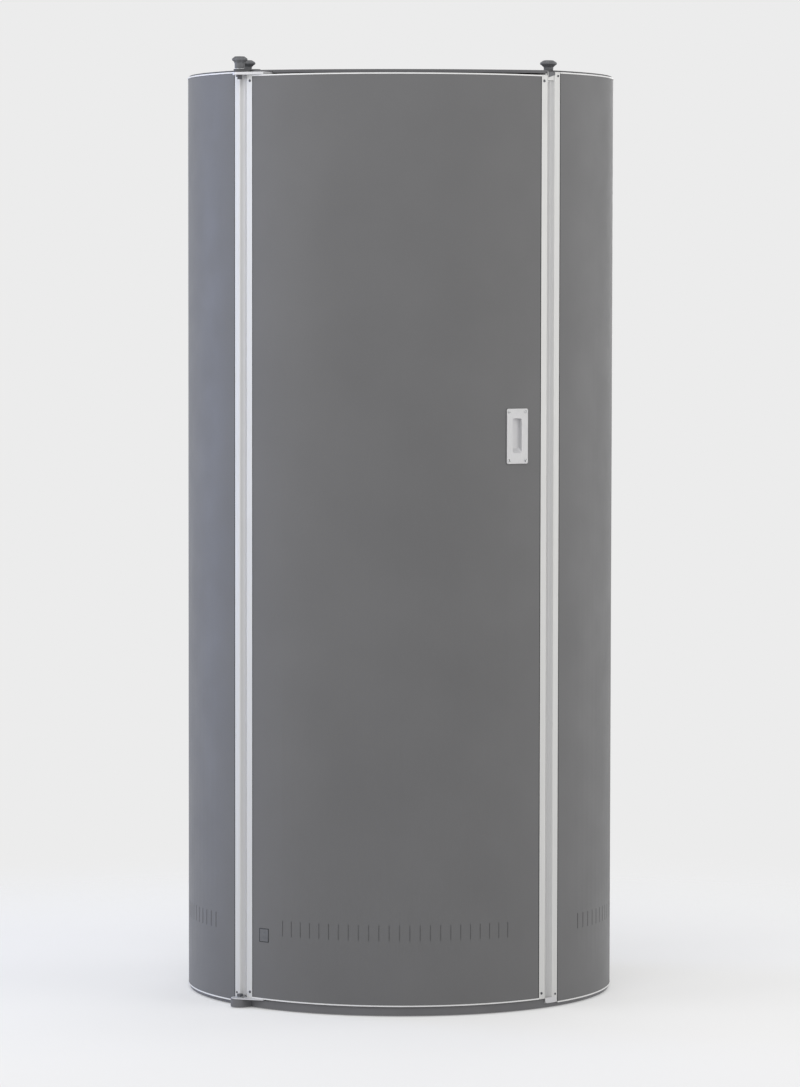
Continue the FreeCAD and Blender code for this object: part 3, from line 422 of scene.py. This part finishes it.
def bevelEdges(piece, test, radius, segments):
    # only the edges that pass the test get a radius
    pick(piece, "EDGE", test)
    bpy.ops.mesh.bevel(offset=radius * mm, segments=segments, affect="EDGES")
    bpy.ops.object.mode_set(mode="OBJECT")


def shiftCorners(piece, test, by):
    # only the corners that pass the test are moved
    pick(piece, "VERT", test)
    bpy.ops.transform.translate(value=[b * mm for b in by])
    bpy.ops.object.mode_set(mode="OBJECT")


def modify(piece, kind, **settings):
    hold(piece)
    modifier = piece.modifiers.new(kind.lower(), kind)
    for key, value in settings.items():
        setattr(modifier, key, value)
    bpy.ops.object.modifier_apply(modifier=modifier.name)


def rounded(piece, width, segments=3, angle=40):
    # every edge sharper than the angle gets a radius
    modify(piece, "BEVEL", width=width * mm, segments=segments, limit_method="ANGLE",
           angle_limit=math.radians(angle), harden_normals=False, miter_outer="MITER_ARC")


def carved(piece, cutter, operation="DIFFERENCE"):
    # the cutter is used up: taken out of the piece, joined to it, or kept where both are
    modify(piece, "BOOLEAN", operation=operation, solver="EXACT", object=cutter)
    bpy.data.objects.remove(cutter)


def copied(piece, name):
    twin = piece.copy()
    twin.data = piece.data.copy()
    twin.name = twin.data.name = name
    bpy.context.scene.collection.objects.link(twin)
    return twin


def placed(piece, at, angle=0):
    # moved by a vector, then round the booth's axis by a plan angle
    piece.location = [c * mm for c in at]
    applyPlace(piece)
    piece.rotation_euler.z = math.radians(angle)
    return applyPlace(piece)


def fused(pieces, name):
    clearSelection()
    for piece in pieces:
        piece.select_set(True)
    bpy.context.view_layer.objects.active = pieces[0]
    bpy.ops.object.join()
    pieces[0].name = pieces[0].data.name = name
    return pieces[0]


def copiesOf(master, name, spots):
    # the master is used up as one piece of copies; each spot is a turn, a place and a plan angle
    parts = []
    for k, (turn, at, angle) in enumerate(spots):
        part = copied(master, name + str(k))
        part.rotation_euler.y = math.radians(turn)
        applyPlace(part)
        parts.append(placed(part, at, angle))
    bpy.data.objects.remove(master)
    return fused(parts, name)


def lathe(name, rings, sides):
    # a round upright body grown ring by ring: each ring is a height and a radius
    clearSelection()
    bpy.ops.mesh.primitive_circle_add(vertices=sides, radius=rings[0][1] * mm, fill_type="NGON",
                                      location=(0, 0, rings[0][0] * mm))
    piece = bpy.context.object
    piece.name = piece.data.name = name
    applyPlace(piece)
    pick(piece, "FACE", lambda c, f: True)
    for (low, first), (high, second) in zip(rings, rings[1:]):
        bpy.ops.mesh.extrude_region_move(TRANSFORM_OT_translate={"value": (0, 0, (high - low) * mm)})
        bpy.ops.transform.resize(value=(second / first, second / first, 1), center_override=(0, 0, 0))
    bpy.ops.mesh.select_all(action="SELECT")
    bpy.ops.mesh.normals_make_consistent(inside=False)
    bpy.ops.object.mode_set(mode="OBJECT")
    return piece


def handOver(piece, slotName, body, *replaced, smooth=35):
    # shading with flat faces kept flat, finish and the body that carries the piece
    hold(piece)
    bpy.ops.object.shade_smooth_by_angle(angle=math.radians(smooth))
    modify(piece, "WEIGHTED_NORMAL", keep_sharp=True, weight=100)
    piece.data.materials.clear()
    piece.data.materials.append(finishes[slotName])
    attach(piece, body)
    if replaced:
        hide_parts(*replaced)


# pull handle: plate with a dished finger recess, its lower end sloping out
handleLook = {
    "z": 1317, "angle": 33.4, "gap": 0.2, "plate": (57, 2.2, 125.4), "raise": 1.3, "corner": 4,
    "edge": 0.55, "cup": (28, 17, 86), "cupCorner": 6, "cupBehind": 1, "recess": (25.2, 10, 83),
    "recessCorner": 4, "cutPast": 4, "slope": 15, "lean": (0.8, 4.5), "floorRadius": 2.4,
    "screwAt": (22, 55.3), "slots": (0, 90, 75, -58),
}
plateFront = skin + handleLook["gap"] + handleLook["plate"][1]
plate = addSlab("pullHandle", handleLook["plate"], plateFront, handleLook["raise"])
cup = addSlab("cup", handleLook["cup"], plateFront - handleLook["cupBehind"])
recessWide, recessDeep, recessTall = handleLook["recess"]
recess = addSlab("recess", (recessWide, recessDeep + handleLook["cutPast"], recessTall),
                 plateFront + handleLook["cutPast"])
for block, corner in ((plate, "corner"), (cup, "cupCorner"), (recess, "recessCorner")):
    bevelEdges(block, runsAlong("y"), handleLook[corner], 8)
recessFloor = -plateFront + recessDeep
# the floor's lower end and its two sides are drawn in, so those walls slope
shiftCorners(recess, lambda c, v: c.y > recessFloor - near and c.z < 0, (0, 0, handleLook["slope"]))
for side, lean in zip((-1, 1), handleLook["lean"]):
    shiftCorners(recess, lambda c, v: c.y > recessFloor - near and c.x * side > 0,
                 (-side * lean, 0, 0))
bevelEdges(recess, levelAt("y", recessFloor), handleLook["floorRadius"], 5)
carved(plate, cup, "UNION")
carved(plate, recess)
rounded(plate, handleLook["edge"])
placed(plate, (0, 0, handleLook["z"]), handleLook["angle"])
handOver(plate, "handle_aluminium", "door", "pull_handle")
print("pull handle done")


# screws: pan heads with a cross or a slot
screwLooks = {
    "cross": {"radius": 3.2, "height": 1.2, "round": 0.8, "cut": (0.62, 3.9), "depth": 0.8},
    "smallCross": {"radius": 2.6, "height": 1.2, "round": 0.8, "cut": (0.55, 3.2), "depth": 0.8},
    "slot": {"radius": 3.4, "height": 1.4, "round": 0.7, "cut": (2.1, 7), "depth": 1.15},
}
screwSets = {
    # plan angle and heights of the four screws, and the turns of their heads
    "doorScrews": {"head": "cross", "angle": 42.1, "ends": (36.5, 2125.1), "turns": (20, 55, 70, 10),
                   "body": "door", "node": "door_screws"},
    "postScrews": {"head": "smallCross", "angle": 47.2, "ends": (31, 2137.5),
                   "turns": (35, 5, 15, 60), "body": "cabinet", "node": "post_screws"},
}
# painted shade: a dark insert at the bottom of each slot in the handle's screws
slotShadeLook = {"long": 6.2, "thick": 0.2, "clear": 0.05, "edge": 0.05, "above": 0.34}


def panScrew(name, look, crossed):
    height = look["height"]
    head = addDrum(name, look["radius"], height, (0, -height / 2, 0), 40, lying=True)
    bevelEdges(head, levelAt("y", -height), look["round"], 5)
    wide, long = look["cut"]
    cutThick = 2
    at = (0, -height + look["depth"] - cutThick / 2, 0)
    carved(head, addBox("cut", (long, cutThick, wide), at))
    if crossed:
        carved(head, addBox("cut", (wide, cutThick, long), at))
    return head


for name, look in screwSets.items():
    master = panScrew("screwMaster", screwLooks[look["head"]], True)
    places = [(side, z) for z in look["ends"] for side in (-1, 1)]
    spots = [(turn, (0, -skin, z), side * look["angle"])
             for turn, (side, z) in zip(look["turns"], places)]
    handOver(copiesOf(master, name, spots), "screw_steel", look["body"], look["node"])
# the handle's screws stand on its flat plate, so they are moved sideways before the turn
master = panScrew("screwMaster", screwLooks["slot"], False)
slotWide = screwLooks["slot"]["cut"][0]
# painted shade: dark inserts that make the screw slots read dark
slotFloor = addBox("slotFloor", (slotShadeLook["long"], slotShadeLook["thick"],
                                 slotWide - slotShadeLook["clear"]), (0, -slotShadeLook["above"], 0))
rounded(slotFloor, slotShadeLook["edge"], 1)
sideways, away = handleLook["screwAt"]
plateMiddle = handleLook["z"] + handleLook["raise"]
places = [(side * sideways, -plateFront, plateMiddle + up * away) for up in (1, -1) for side in (-1, 1)]
spots = [(turn, at, handleLook["angle"]) for turn, at in zip(handleLook["slots"], places)]
handOver(copiesOf(master, "handleScrews", spots), "washer_steel", "door")
handOver(copiesOf(slotFloor, "handleScrewSlotShade", spots), "fan_plastic", "door")
print("screws done")


# hand knobs: a round stem under a flat cap with shallow finger lobes
knobLooks = {
    "leftRoofKnob": {"at": (-345.1, -304.2, 2151.8), "cap": 19.2, "stem": 11, "height": 23,
                     "body": "left_roof_knob", "node": "roof_knob_left", "turn": 12},
    "rightRoofKnob": {"at": (345.1, -304.2, 2151.8), "cap": 19.2, "stem": 11, "height": 23,
                      "body": "right_roof_knob", "node": "roof_knob_right", "turn": 40},
    "hingeKnob": {"at": (-358.73, -362.51, 2153.8), "cap": 18, "stem": 11.5, "height": 26.8,
                  "body": "top_hinge_knob", "node": "hinge_knob", "turn": 25},
}
knobShape = {
    "capHeight": 15, "undercut": 5.5, "rim": 4, "flat": 11, "lobes": 7, "lobeDepth": 1.5,
    "lobeClear": (0.5, 1.5), "sectors": (13, 9, 5), "sides": 84,
}


def knobProfile(look):
    # heights and radii from the stem's foot up over the cap and into its shallow dish
    stem, cap, top = look["stem"], look["cap"], look["height"]
    low = top - knobShape["capHeight"]
    edge = low + knobShape["undercut"]
    crown = edge + knobShape["rim"]
    flat = knobShape["flat"]
    stemRings = [(0, stem - 0.7), (0.7, stem), (low - 1.5, stem), (low - 0.5, stem + 0.4),
                 (low, stem + 1.0)]
    underRings = [(edge - 2.4, cap - 4.2), (edge - 0.8, cap - 1.6), (edge, cap - 0.6)]
    rimRings = [(edge + 1, cap - 0.05), (edge + 1.8, cap), (crown - 1, cap), (crown, cap - 0.3)]
    crownRings = [(crown + 1.2, cap - 1.2), (crown + 2.4, cap - 2.8), (top - 2.0, cap - 4.6)]
    dishRings = [(top - 0.9, flat + 1.6), (top - 0.2, flat), (top, flat - 1.2), (top, flat - 3.2),
                 (top - 0.5, flat - 4.0), (top - 0.6, flat - 7)]
    return stemRings + underRings + rimRings + crownRings + dishRings


def handKnob(name, look):
    knob = lathe(name, knobProfile(look), knobShape["sides"])
    below, above = knobShape["lobeClear"]
    lobesFrom = look["height"] - knobShape["capHeight"] + below
    lobesTo = look["height"] - above
    step = 360 / knobShape["lobes"]
    for k in range(knobShape["lobes"]):
        # a valley is drawn in three times, each time over a narrower sector
        way = Vector((math.cos(math.radians(step * k)), math.sin(math.radians(step * k)), 0))
        for reach in knobShape["sectors"]:
            shiftCorners(knob, lambda c, v: lobesFrom < c.z < lobesTo and c.xy.length > look["stem"] + 1
                         and math.degrees(way.xy.angle(c.xy, 0)) < reach,
                         -way * knobShape["lobeDepth"] / len(knobShape["sectors"]))
    knob.rotation_euler.z = math.radians(look["turn"])
    applyPlace(knob)
    placed(knob, look["at"])
    handOver(knob, "knob_plastic", look["body"], look["node"], smooth=50)


for name, look in knobLooks.items():
    handKnob(name, look)
print("hand knobs done")


# blank label plate low on the door: a thin dark frame round a bare field
labelLook = {
    "angle": -37.1, "z": 171.5, "size": (28, 0.9, 32), "corner": 2, "border": 1.6, "sunk": 0.25,
    "fieldThick": 0.3, "fieldProud": 0.2, "fieldClear": 0.6, "fieldEdge": 0.08,
}
labelWide, labelThick, labelTall = labelLook["size"]
labelFront = skin + labelThick / 2
label = addSlab("labelFrame", labelLook["size"], labelFront, labelLook["z"])
bevelEdges(label, runsAlong("y"), labelLook["corner"], 5)
pick(label, "FACE", lambda c, f: f.normal.y < -0.9)
bpy.ops.mesh.inset(thickness=labelLook["border"] * mm)
bpy.ops.mesh.extrude_region_move(TRANSFORM_OT_translate={"value": (0, labelLook["sunk"] * mm, 0)})
bpy.ops.object.mode_set(mode="OBJECT")
around = 2 * labelLook["border"] + labelLook["fieldClear"]
field = addSlab("labelField", (labelWide - around, labelLook["fieldThick"], labelTall - around),
                labelFront - labelLook["sunk"] + labelLook["fieldProud"], labelLook["z"])
rounded(field, labelLook["fieldEdge"], 2)
for piece, slotName in ((label, "fan_plastic"), (field, "knob_plastic")):
    placed(piece, (0, 0, 0), labelLook["angle"])
    handOver(piece, slotName, "door")
print("label plate done")


# filter gauze behind the vent slots
gauzeLook = {
    "r": 498.85, "z": 191, "tall": 54, "thick": 0.5, "doorHalf": 34.5, "wallHalf": 36, "sides": 720,
}


def thinBand(name, look, middles, half):
    # part of a thin upright band round the booth's axis, kept only near the given plan angles
    clearSelection()
    bpy.ops.mesh.primitive_cylinder_add(vertices=look["sides"], radius=look["r"] * mm,
                                        depth=look["tall"] * mm, end_fill_type="NOTHING",
                                        location=(0, 0, look["z"] * mm))
    strip = bpy.context.object
    strip.name = strip.data.name = name
    applyPlace(strip)

    def outside(centre, face):
        plan = math.degrees(math.atan2(centre.x, -centre.y)) % 360
        return all(abs((plan - m + 180) % 360 - 180) > half for m in middles)

    pick(strip, "FACE", outside)
    bpy.ops.mesh.delete(type="FACE")
    bpy.ops.object.mode_set(mode="OBJECT")
    modify(strip, "SOLIDIFY", thickness=look["thick"] * mm, offset=-1)
    return strip


doorGauze = thinBand("doorVentGauze", gauzeLook, (0,), gauzeLook["doorHalf"])
handOver(doorGauze, "skin_paint", "door")
wallGauze = thinBand("wallVentGauze", gauzeLook, (90, 180, 270), gauzeLook["wallHalf"])
handOver(wallGauze, "skin_paint", "cabinet")
print("vent gauze done")


# fascia over the doorway: closes the space between the ceiling panel and the roof
fasciaLook = {"r": 392, "z": 2115.2, "tall": 66, "thick": 1.5, "half": 45.5, "sides": 360, "edge": 0.4}
fascia = thinBand("ceilingFascia", fasciaLook, (0,), fasciaLook["half"])
rounded(fascia, fasciaLook["edge"], 2)
handOver(fascia, "ceiling_white", "cabinet")
print("ceiling fascia done")


# upright strips on both sides of the door
stripLooks = {
    # painted shade: thin dark strips standing in for the shadow line where each skin runs into its
    # stile or post
    "doorSealingBeads": {"wide": 2.0, "deep": 1.2, "front": 500.35, "edge": 0.35, "angle": 41.12,
                         "ends": (26.5, 2134.8), "slot": "rubber_foot", "body": "door"},
    "wallSealingBeads": {"wide": 2.0, "deep": 1.2, "front": 500.35, "edge": 0.35, "angle": 48.07,
                         "ends": (13.5, 2143), "slot": "rubber_foot", "body": "cabinet"},
    # pale lip seals on the door's two edges, closing the gap to the posts
    "doorLipSeals": {"wide": 1.0, "deep": 2.6, "front": 499.3, "edge": 0.3, "angle": 43.365,
                     "ends": (27, 2134), "slot": "trim_white", "body": "door"},
}
for name, look in stripLooks.items():
    low, high = look["ends"]
    strips = []
    for side in (-1, 1):
        strip = addSlab("strip", (look["wide"], look["deep"], high - low), look["front"],
                        (low + high) / 2)
        bevelEdges(strip, runsAlong("z"), look["edge"], 3)
        strips.append(placed(strip, (0, 0, 0), side * look["angle"]))
    handOver(fused(strips, name), look["slot"], look["body"])
# the dark strips counted here are painted shade lines at the skins' joints
print("painted shade lines and lip seals done")


# foot plate closing the lower end of the latch post, its lower corners rounded
footLook = {
    "angle": 45.45, "size": (36, 1.0, 13), "z": 18.3, "front": 500.9, "corner": 6, "edge": 0.3,
}
foot = addSlab("latchPostFoot", footLook["size"], footLook["front"], footLook["z"])
bevelEdges(foot, lambda c, e: runsAlong("y")(c, e) and c.z < footLook["z"], footLook["corner"], 8)
rounded(foot, footLook["edge"])
placed(foot, (0, 0, 0), footLook["angle"])
handOver(foot, "plate_aluminium", "cabinet")
print("post foot done")


# dark cap over the upper end of the latch post's channel, partly a dark catch and partly painted
# shadow: its lower edge rises away from the door along the slant of the roof's cast shadow
capLook = {"angle": 44.88, "size": (21, 0.9, 12.5), "z": 2139.8, "front": 500, "rise": 6, "edge": 0.3}
cap = addSlab("latchPostCap", capLook["size"], capLook["front"], capLook["z"])
shiftCorners(cap, lambda c, v: c.x > 0 and c.z < capLook["z"], (0, 0, capLook["rise"]))
rounded(cap, capLook["edge"])
placed(cap, (0, 0, 0), capLook["angle"])
handOver(cap, "knob_plastic", "cabinet")
print("post cap done")


# floor mat: a bevelled disc with raised ribs
matLook = {
    "radius": 398, "low": 20, "sheet": 2.8, "edge": 1.2, "top": 25, "ribFoot": 22, "ribWidth": 6.5,
    "ribPitch": 12, "ribReach": 388, "ribEdge": 1.1, "trimTall": 40, "sides": 160,
}
mat = addDrum("floorMat", matLook["radius"], matLook["sheet"],
              (0, 0, matLook["low"] + matLook["sheet"] / 2), matLook["sides"])
rounded(mat, matLook["edge"], 2)
ribTall = matLook["top"] - matLook["ribFoot"]
rib = addBox("rib", (matLook["ribWidth"], 2 * matLook["ribReach"], ribTall),
             (0, 0, matLook["top"] - ribTall / 2))
bevelEdges(rib, levelAt("z", matLook["top"]), matLook["ribEdge"], 2)
count = int(2 * matLook["ribReach"] / matLook["ribPitch"])
placed(rib, (-(count - 1) / 2 * matLook["ribPitch"], 0, 0))
modify(rib, "ARRAY", count=count, use_relative_offset=False, use_constant_offset=True,
       constant_offset_displace=(matLook["ribPitch"] * mm, 0, 0))
disc = addDrum("disc", matLook["ribReach"], matLook["trimTall"], (0, 0, matLook["top"]),
               matLook["sides"])
carved(rib, disc, "INTERSECT")
handOver(fused([mat, rib], "floorMat"), "mat_rubber", "cabinet", "floor_mat")
print("floor mat done")


# control box on the rear post: rounded housing, sunk display, collars and corner screws
boxLook = {
    "angle": 135, "z": 1200, "size": (80, 26, 150), "back": 400.4, "corner": 7, "edge": 2.2,
    "innerEdge": 0.4, "drill": 12, "window": (52, 24), "windowZ": 50, "windowSunk": 1.4,
    "windowBehind": 0.3, "windowThick": 1, "windowClear": 0.4, "windowEdge": 0.3,
    "collar": 14.5, "collarProud": 1.6, "collarSunk": 1, "collarEdge": 0.5,
    "screwAt": (32, 67), "screwTurns": (30, 20),
}
buttonLook = {
    "radius": 10, "proud": 4, "behind": 8, "edge": 1.4, "dishRim": 1.6, "dish": 0.5, "sides": 64,
    "clear": 0.1, "collarClear": 0.3, "boxClear": 0.4,
}
buttons = {
    "startButton": {"z": 21, "slot": "button_green", "body": "start_push", "node": "start_button"},
    "stopButton": {"z": -21, "slot": "button_red", "body": "stop_push", "node": "stop_button"},
}
# the box is built facing back, at the height 0, and turned and raised when it is finished
boxFront = -(boxLook["back"] - boxLook["size"][1])


def buttonDrill(z, clear):
    return addDrum("drill", buttonLook["radius"] + clear, boxLook["drill"], (0, boxFront, z),
                   buttonLook["sides"], lying=True)


def controlHousing():
    housing = addSlab("controlBox", boxLook["size"], boxLook["back"])
    bevelEdges(housing, runsAlong("y"), boxLook["corner"], 6)
    bevelEdges(housing, levelAt("y", boxFront), boxLook["edge"], 4)
    wide, tall = boxLook["window"]
    cutThick = 4
    at = (0, boxFront - boxLook["windowSunk"] + cutThick / 2, boxLook["windowZ"])
    carved(housing, addBox("cut", (wide, cutThick, tall), at))
    for button in buttons.values():
        carved(housing, buttonDrill(button["z"], buttonLook["boxClear"]))
    rounded(housing, boxLook["innerEdge"], 2, 50)
    return housing


def buttonCollars():
    proud, sunk = boxLook["collarProud"], boxLook["collarSunk"]
    collars = []
    for button in buttons.values():
        ring = addDrum("collar", boxLook["collar"], proud + sunk,
                       (0, boxFront + (proud - sunk) / 2, button["z"]), buttonLook["sides"], lying=True)
        carved(ring, buttonDrill(button["z"], buttonLook["collarClear"]))
        rounded(ring, boxLook["collarEdge"])
        collars.append(ring)
    return fused(collars, "buttonCollars")


def controlScrews():
    # turned half round, because the box faces back
    sideways, away = boxLook["screwAt"]
    first, second = boxLook["screwTurns"]
    spots = [(first * side + second * up, (-side * sideways, -boxFront, up * away), 180)
             for side in (-1, 1) for up in (-1, 1)]
    return copiesOf(panScrew("head", screwLooks["smallCross"], True), "controlScrews", spots)


def controlWindow():
    wide, tall = boxLook["window"]
    clear, thick = boxLook["windowClear"], boxLook["windowThick"]
    window = addBox("controlWindow", (wide - clear, thick, tall - clear),
                    (0, boxFront - boxLook["windowBehind"] - thick / 2, boxLook["windowZ"]))
    rounded(window, boxLook["windowEdge"], 2)
    return window


def pushButton(name, look):
    # a round cap with a shallow dish for the fingertip
    proud, long = buttonLook["proud"], buttonLook["proud"] + buttonLook["behind"]
    face = boxFront + proud
    button = addDrum(name, buttonLook["radius"] - buttonLook["clear"], long,
                     (0, face - long / 2, look["z"]), buttonLook["sides"], lying=True)
    bevelEdges(button, levelAt("y", face), buttonLook["edge"], 5)
    pick(button, "FACE", lambda c, f: c.y > face - near and f.normal.y > 0.9)
    bpy.ops.mesh.inset(thickness=buttonLook["dishRim"] * mm)
    bpy.ops.transform.translate(value=(0, -buttonLook["dish"] * mm, 0))
    bpy.ops.object.mode_set(mode="OBJECT")
    return button


for piece, slotName, replaced in ((controlHousing(), "control_plastic", ["control_box"]),
                                  (buttonCollars(), "knob_plastic", []),
                                  (controlScrews(), "screw_steel", []),
                                  (controlWindow(), "fan_plastic", [])):
    placed(piece, (0, 0, boxLook["z"]), boxLook["angle"])
    handOver(piece, slotName, "cabinet", *replaced)
for name, look in buttons.items():
    button = placed(pushButton(name, look), (0, 0, boxLook["z"]), boxLook["angle"])
    handOver(button, look["slot"], look["body"], look["node"], smooth=40)
print("control box done")


# carried-over nodes that get an edge radius: a merged copy with every sharp edge broken
softNodes = {
    "hingeLugs": ("hinge_lugs", 1.0),
    "hingePlates": ("door_hinge_plates", 0.6),
    "hingePins": ("hinge_pins", 0.5),
    "roofWashers": ("roof_washers", 0.3),
    "levellingFeet": ("feet", 1.2),
    "cableGland": ("cable_gland", 0.8),
    "roofPanel": ("roof_panel", 0.7),
    "baseTray": ("base_tray", 0.7),
    "latchPost": ("latch_post", 0.5),
    "hingePost": ("hinge_post", 0.5),
    "rearPosts": ("rear_posts", 0.5),
    "doorLatchStile": ("door_latch_stile", 0.5),
    "doorHingeStile": ("door_hinge_stile", 0.5),
    "doorRails": ("door_rails", 0.6),
    "ceilingGrille": ("ceiling_grille", 0.5),
    "fanGuard": ("fan_guard", 0.5),
    "fanMotor": ("fan_motor", 0.8),
    "roofStuds": ("roof_studs", 0.4),
    "catchStrikes": ("catch_strikes", 0.4),
    "cabinetLampholders": ("cabinet_lampholders", 0.8),
    "doorLampholders": ("door_lampholders", 0.8),
    "doorCatches": ("door_catches", 0.9),
}
# finishes unlike the plain nodes'
softSlots = {"doorRails": "base_enamel", "doorCatches": "post_aluminium"}
flutedPosts = {"latchPost", "hingePost"}
# the channel in a post's face: its edge radius, plan angles, least distance from the axis, and how
# sharp its edges are at least, in radians
fluteLook = {"radius": 2.4, "from": 43.3, "to": 46.6, "deepest": 490, "sharp": 0.6}


def fluteEdge(centre, edge):
    # the channel's edges that are over a metre long and upright
    along = edge.verts[0].co - edge.verts[1].co
    plan = abs(math.degrees(math.atan2(centre.x, -centre.y)))
    upright = along.length > 1 and abs(along.normalized().z) > 0.95
    inChannel = centre.xy.length > fluteLook["deepest"] and fluteLook["from"] < plan < fluteLook["to"]
    return upright and inChannel and edge.calc_face_angle(0) > fluteLook["sharp"]


def mergedCopy(name, source):
    # a node's loose triangles merged into clean faces, in a mesh of its own
    piece = bpy.data.objects.new(name, source.data.copy())
    piece.data.name = name
    bpy.context.scene.collection.objects.link(piece)
    hold(piece)
    bpy.ops.object.mode_set(mode="EDIT")
    bpy.ops.mesh.select_all(action="SELECT")
    bpy.ops.mesh.remove_doubles(threshold=near * mm)
    bpy.ops.mesh.dissolve_limited(angle_limit=math.radians(0.4), use_dissolve_boundaries=False)
    bpy.ops.mesh.normals_make_consistent(inside=False)
    bpy.ops.object.mode_set(mode="OBJECT")
    bpy.ops.mesh.customdata_custom_splitnormals_clear()
    return piece


for name, (node, width) in softNodes.items():
    source = frame["nodes"][node]
    piece = mergedCopy(name, source)
    if name in flutedPosts:
        bevelEdges(piece, fluteEdge, fluteLook["radius"], 4)
    rounded(piece, width, 2)
    handOver(piece, softSlots.get(name, nodeSlots[node]), source["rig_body"], node)
print("edge radii done:", len(softNodes))


# stage: camera, backdrop, floor and lamps

stage = {
    "cameraAt": (0.2465, -10.9872, 1.6449), "cameraTurn": (86.905, -0.09, 1.289), "lens": 153.96,
    "backdrop": "ececec", "worldStrength": 0.55, "floorRadius": 3.2, "floorFade": (1.0, 2.8),
    "floorColour": "d6d6d6", "floorGlow": 0.29, "lampsAim": (0, 0, 1.1),
}

camera = bpy.data.cameras.new("camera")
camera.lens = stage["lens"]
cameraObject = bpy.data.objects.new("camera", camera)
cameraObject.location = stage["cameraAt"]
cameraObject.rotation_euler = [math.radians(a) for a in stage["cameraTurn"]]
bpy.context.scene.collection.objects.link(cameraObject)
bpy.context.scene.camera = cameraObject
bpy.context.scene.view_settings.view_transform = "Standard"


def seenDirectly(tree):
    # 1 for rays that show the backdrop: from the camera, in a gloss or through clear material
    path = addNode(tree, "ShaderNodeLightPath")
    first = combine(tree, "MAXIMUM", path.outputs["Is Camera Ray"], path.outputs["Is Glossy Ray"])
    return combine(tree, "MAXIMUM", first, path.outputs["Is Transmission Ray"])


world = bpy.data.worlds.new("studio")
bpy.context.scene.world = world
world.use_nodes = True
tree = world.node_tree
tree.nodes.clear()
air = addNode(tree, "ShaderNodeBackground", {"Color": linear("ffffff"),
                                             "Strength": stage["worldStrength"]})
backdrop = addNode(tree, "ShaderNodeBackground", {"Color": linear(stage["backdrop"]), "Strength": 1.0})
both = addNode(tree, "ShaderNodeMixShader", None, {
    0: seenDirectly(tree), 1: air.outputs[0], 2: backdrop.outputs[0]})
addNode(tree, "ShaderNodeOutputWorld", None, {"Surface": both.outputs[0]})

bpy.ops.object.select_all(action="DESELECT")
bpy.ops.mesh.primitive_circle_add(vertices=96, radius=stage["floorRadius"], fill_type="TRIFAN")
floor = bpy.context.object
floor.name = "floor"
# a pale floor that turns clear further out, so its edge doesn't show
material = bpy.data.materials.new("paleFloor")
material.use_nodes = True
tree = material.node_tree
tree.nodes.clear()
place = addNode(tree, "ShaderNodeTexCoord").outputs["Object"]
away = addNode(tree, "ShaderNodeVectorMath", {"operation": "LENGTH"}, {0: place}).outputs["Value"]
fadeFrom, fadeTo = stage["floorFade"]
fade = addNode(tree, "ShaderNodeMapRange", {"interpolation_type": "SMOOTHSTEP", "From Min": fadeFrom,
                                            "From Max": fadeTo}, {"Value": away})
paint = addNode(tree, "ShaderNodeBsdfDiffuse", {"Color": linear(stage["floorColour"])})
glowLevel = addNode(tree, "ShaderNodeMath", {"operation": "MULTIPLY", 1: stage["floorGlow"]},
                    {0: seenDirectly(tree)})
glow = addNode(tree, "ShaderNodeEmission", {"Color": linear("ffffff")},
               {"Strength": glowLevel.outputs[0]})
lit = addNode(tree, "ShaderNodeAddShader", None, {0: paint.outputs[0], 1: glow.outputs[0]})
clear = addNode(tree, "ShaderNodeBsdfTransparent")
mixed = addNode(tree, "ShaderNodeMixShader", None, {
    0: fade.outputs["Result"], 1: lit.outputs[0], 2: clear.outputs[0]})
addNode(tree, "ShaderNodeOutputMaterial", None, {"Surface": mixed.outputs[0]})
floor.data.materials.append(material)

lamps = {
    # place, size, power and colour of each softbox; all of them look at the booth's middle
    "leftSoftbox": {"at": (-4.2, -2.2, 2.2), "size": (2.6, 3.4), "watts": 56, "colour": "f8f9ff"},
    "rightSoftbox": {"at": (4.2, -2.4, 2.2), "size": (2.6, 3.4), "watts": 46, "colour": "fffcf8"},
    "leftStrip": {"at": (-4.2, 1.6, 1.6), "size": (1.8, 3.4), "watts": 50, "colour": "a8c2ff"},
    "rightStrip": {"at": (4.2, 1.6, 1.6), "size": (1.8, 3.4), "watts": 28, "colour": "ffffff"},
    "backSoftbox": {"at": (0.6, 4.4, 2.8), "size": (3.0, 3.0), "watts": 44, "colour": "ffffff"},
    "topSoftbox": {"at": (-0.6, -3.2, 4.4), "size": (2.2, 1.8), "watts": 40, "colour": "ffffff"},
}
for name, lamp in lamps.items():
    light = bpy.data.lights.new(name, "AREA")
    light.shape = "RECTANGLE"
    light.size, light.size_y = lamp["size"]
    light.energy = lamp["watts"]
    light.color = linear(lamp["colour"])[:3]
    lightObject = bpy.data.objects.new(name, light)
    lightObject.location = lamp["at"]
    aim = Vector(stage["lampsAim"]) - Vector(lamp["at"])
    lightObject.rotation_euler = aim.to_track_quat("-Z", "Y").to_euler()
    lightObject.visible_camera = False
    bpy.context.scene.collection.objects.link(lightObject)
print("stage set:", len(lamps), "softboxes")
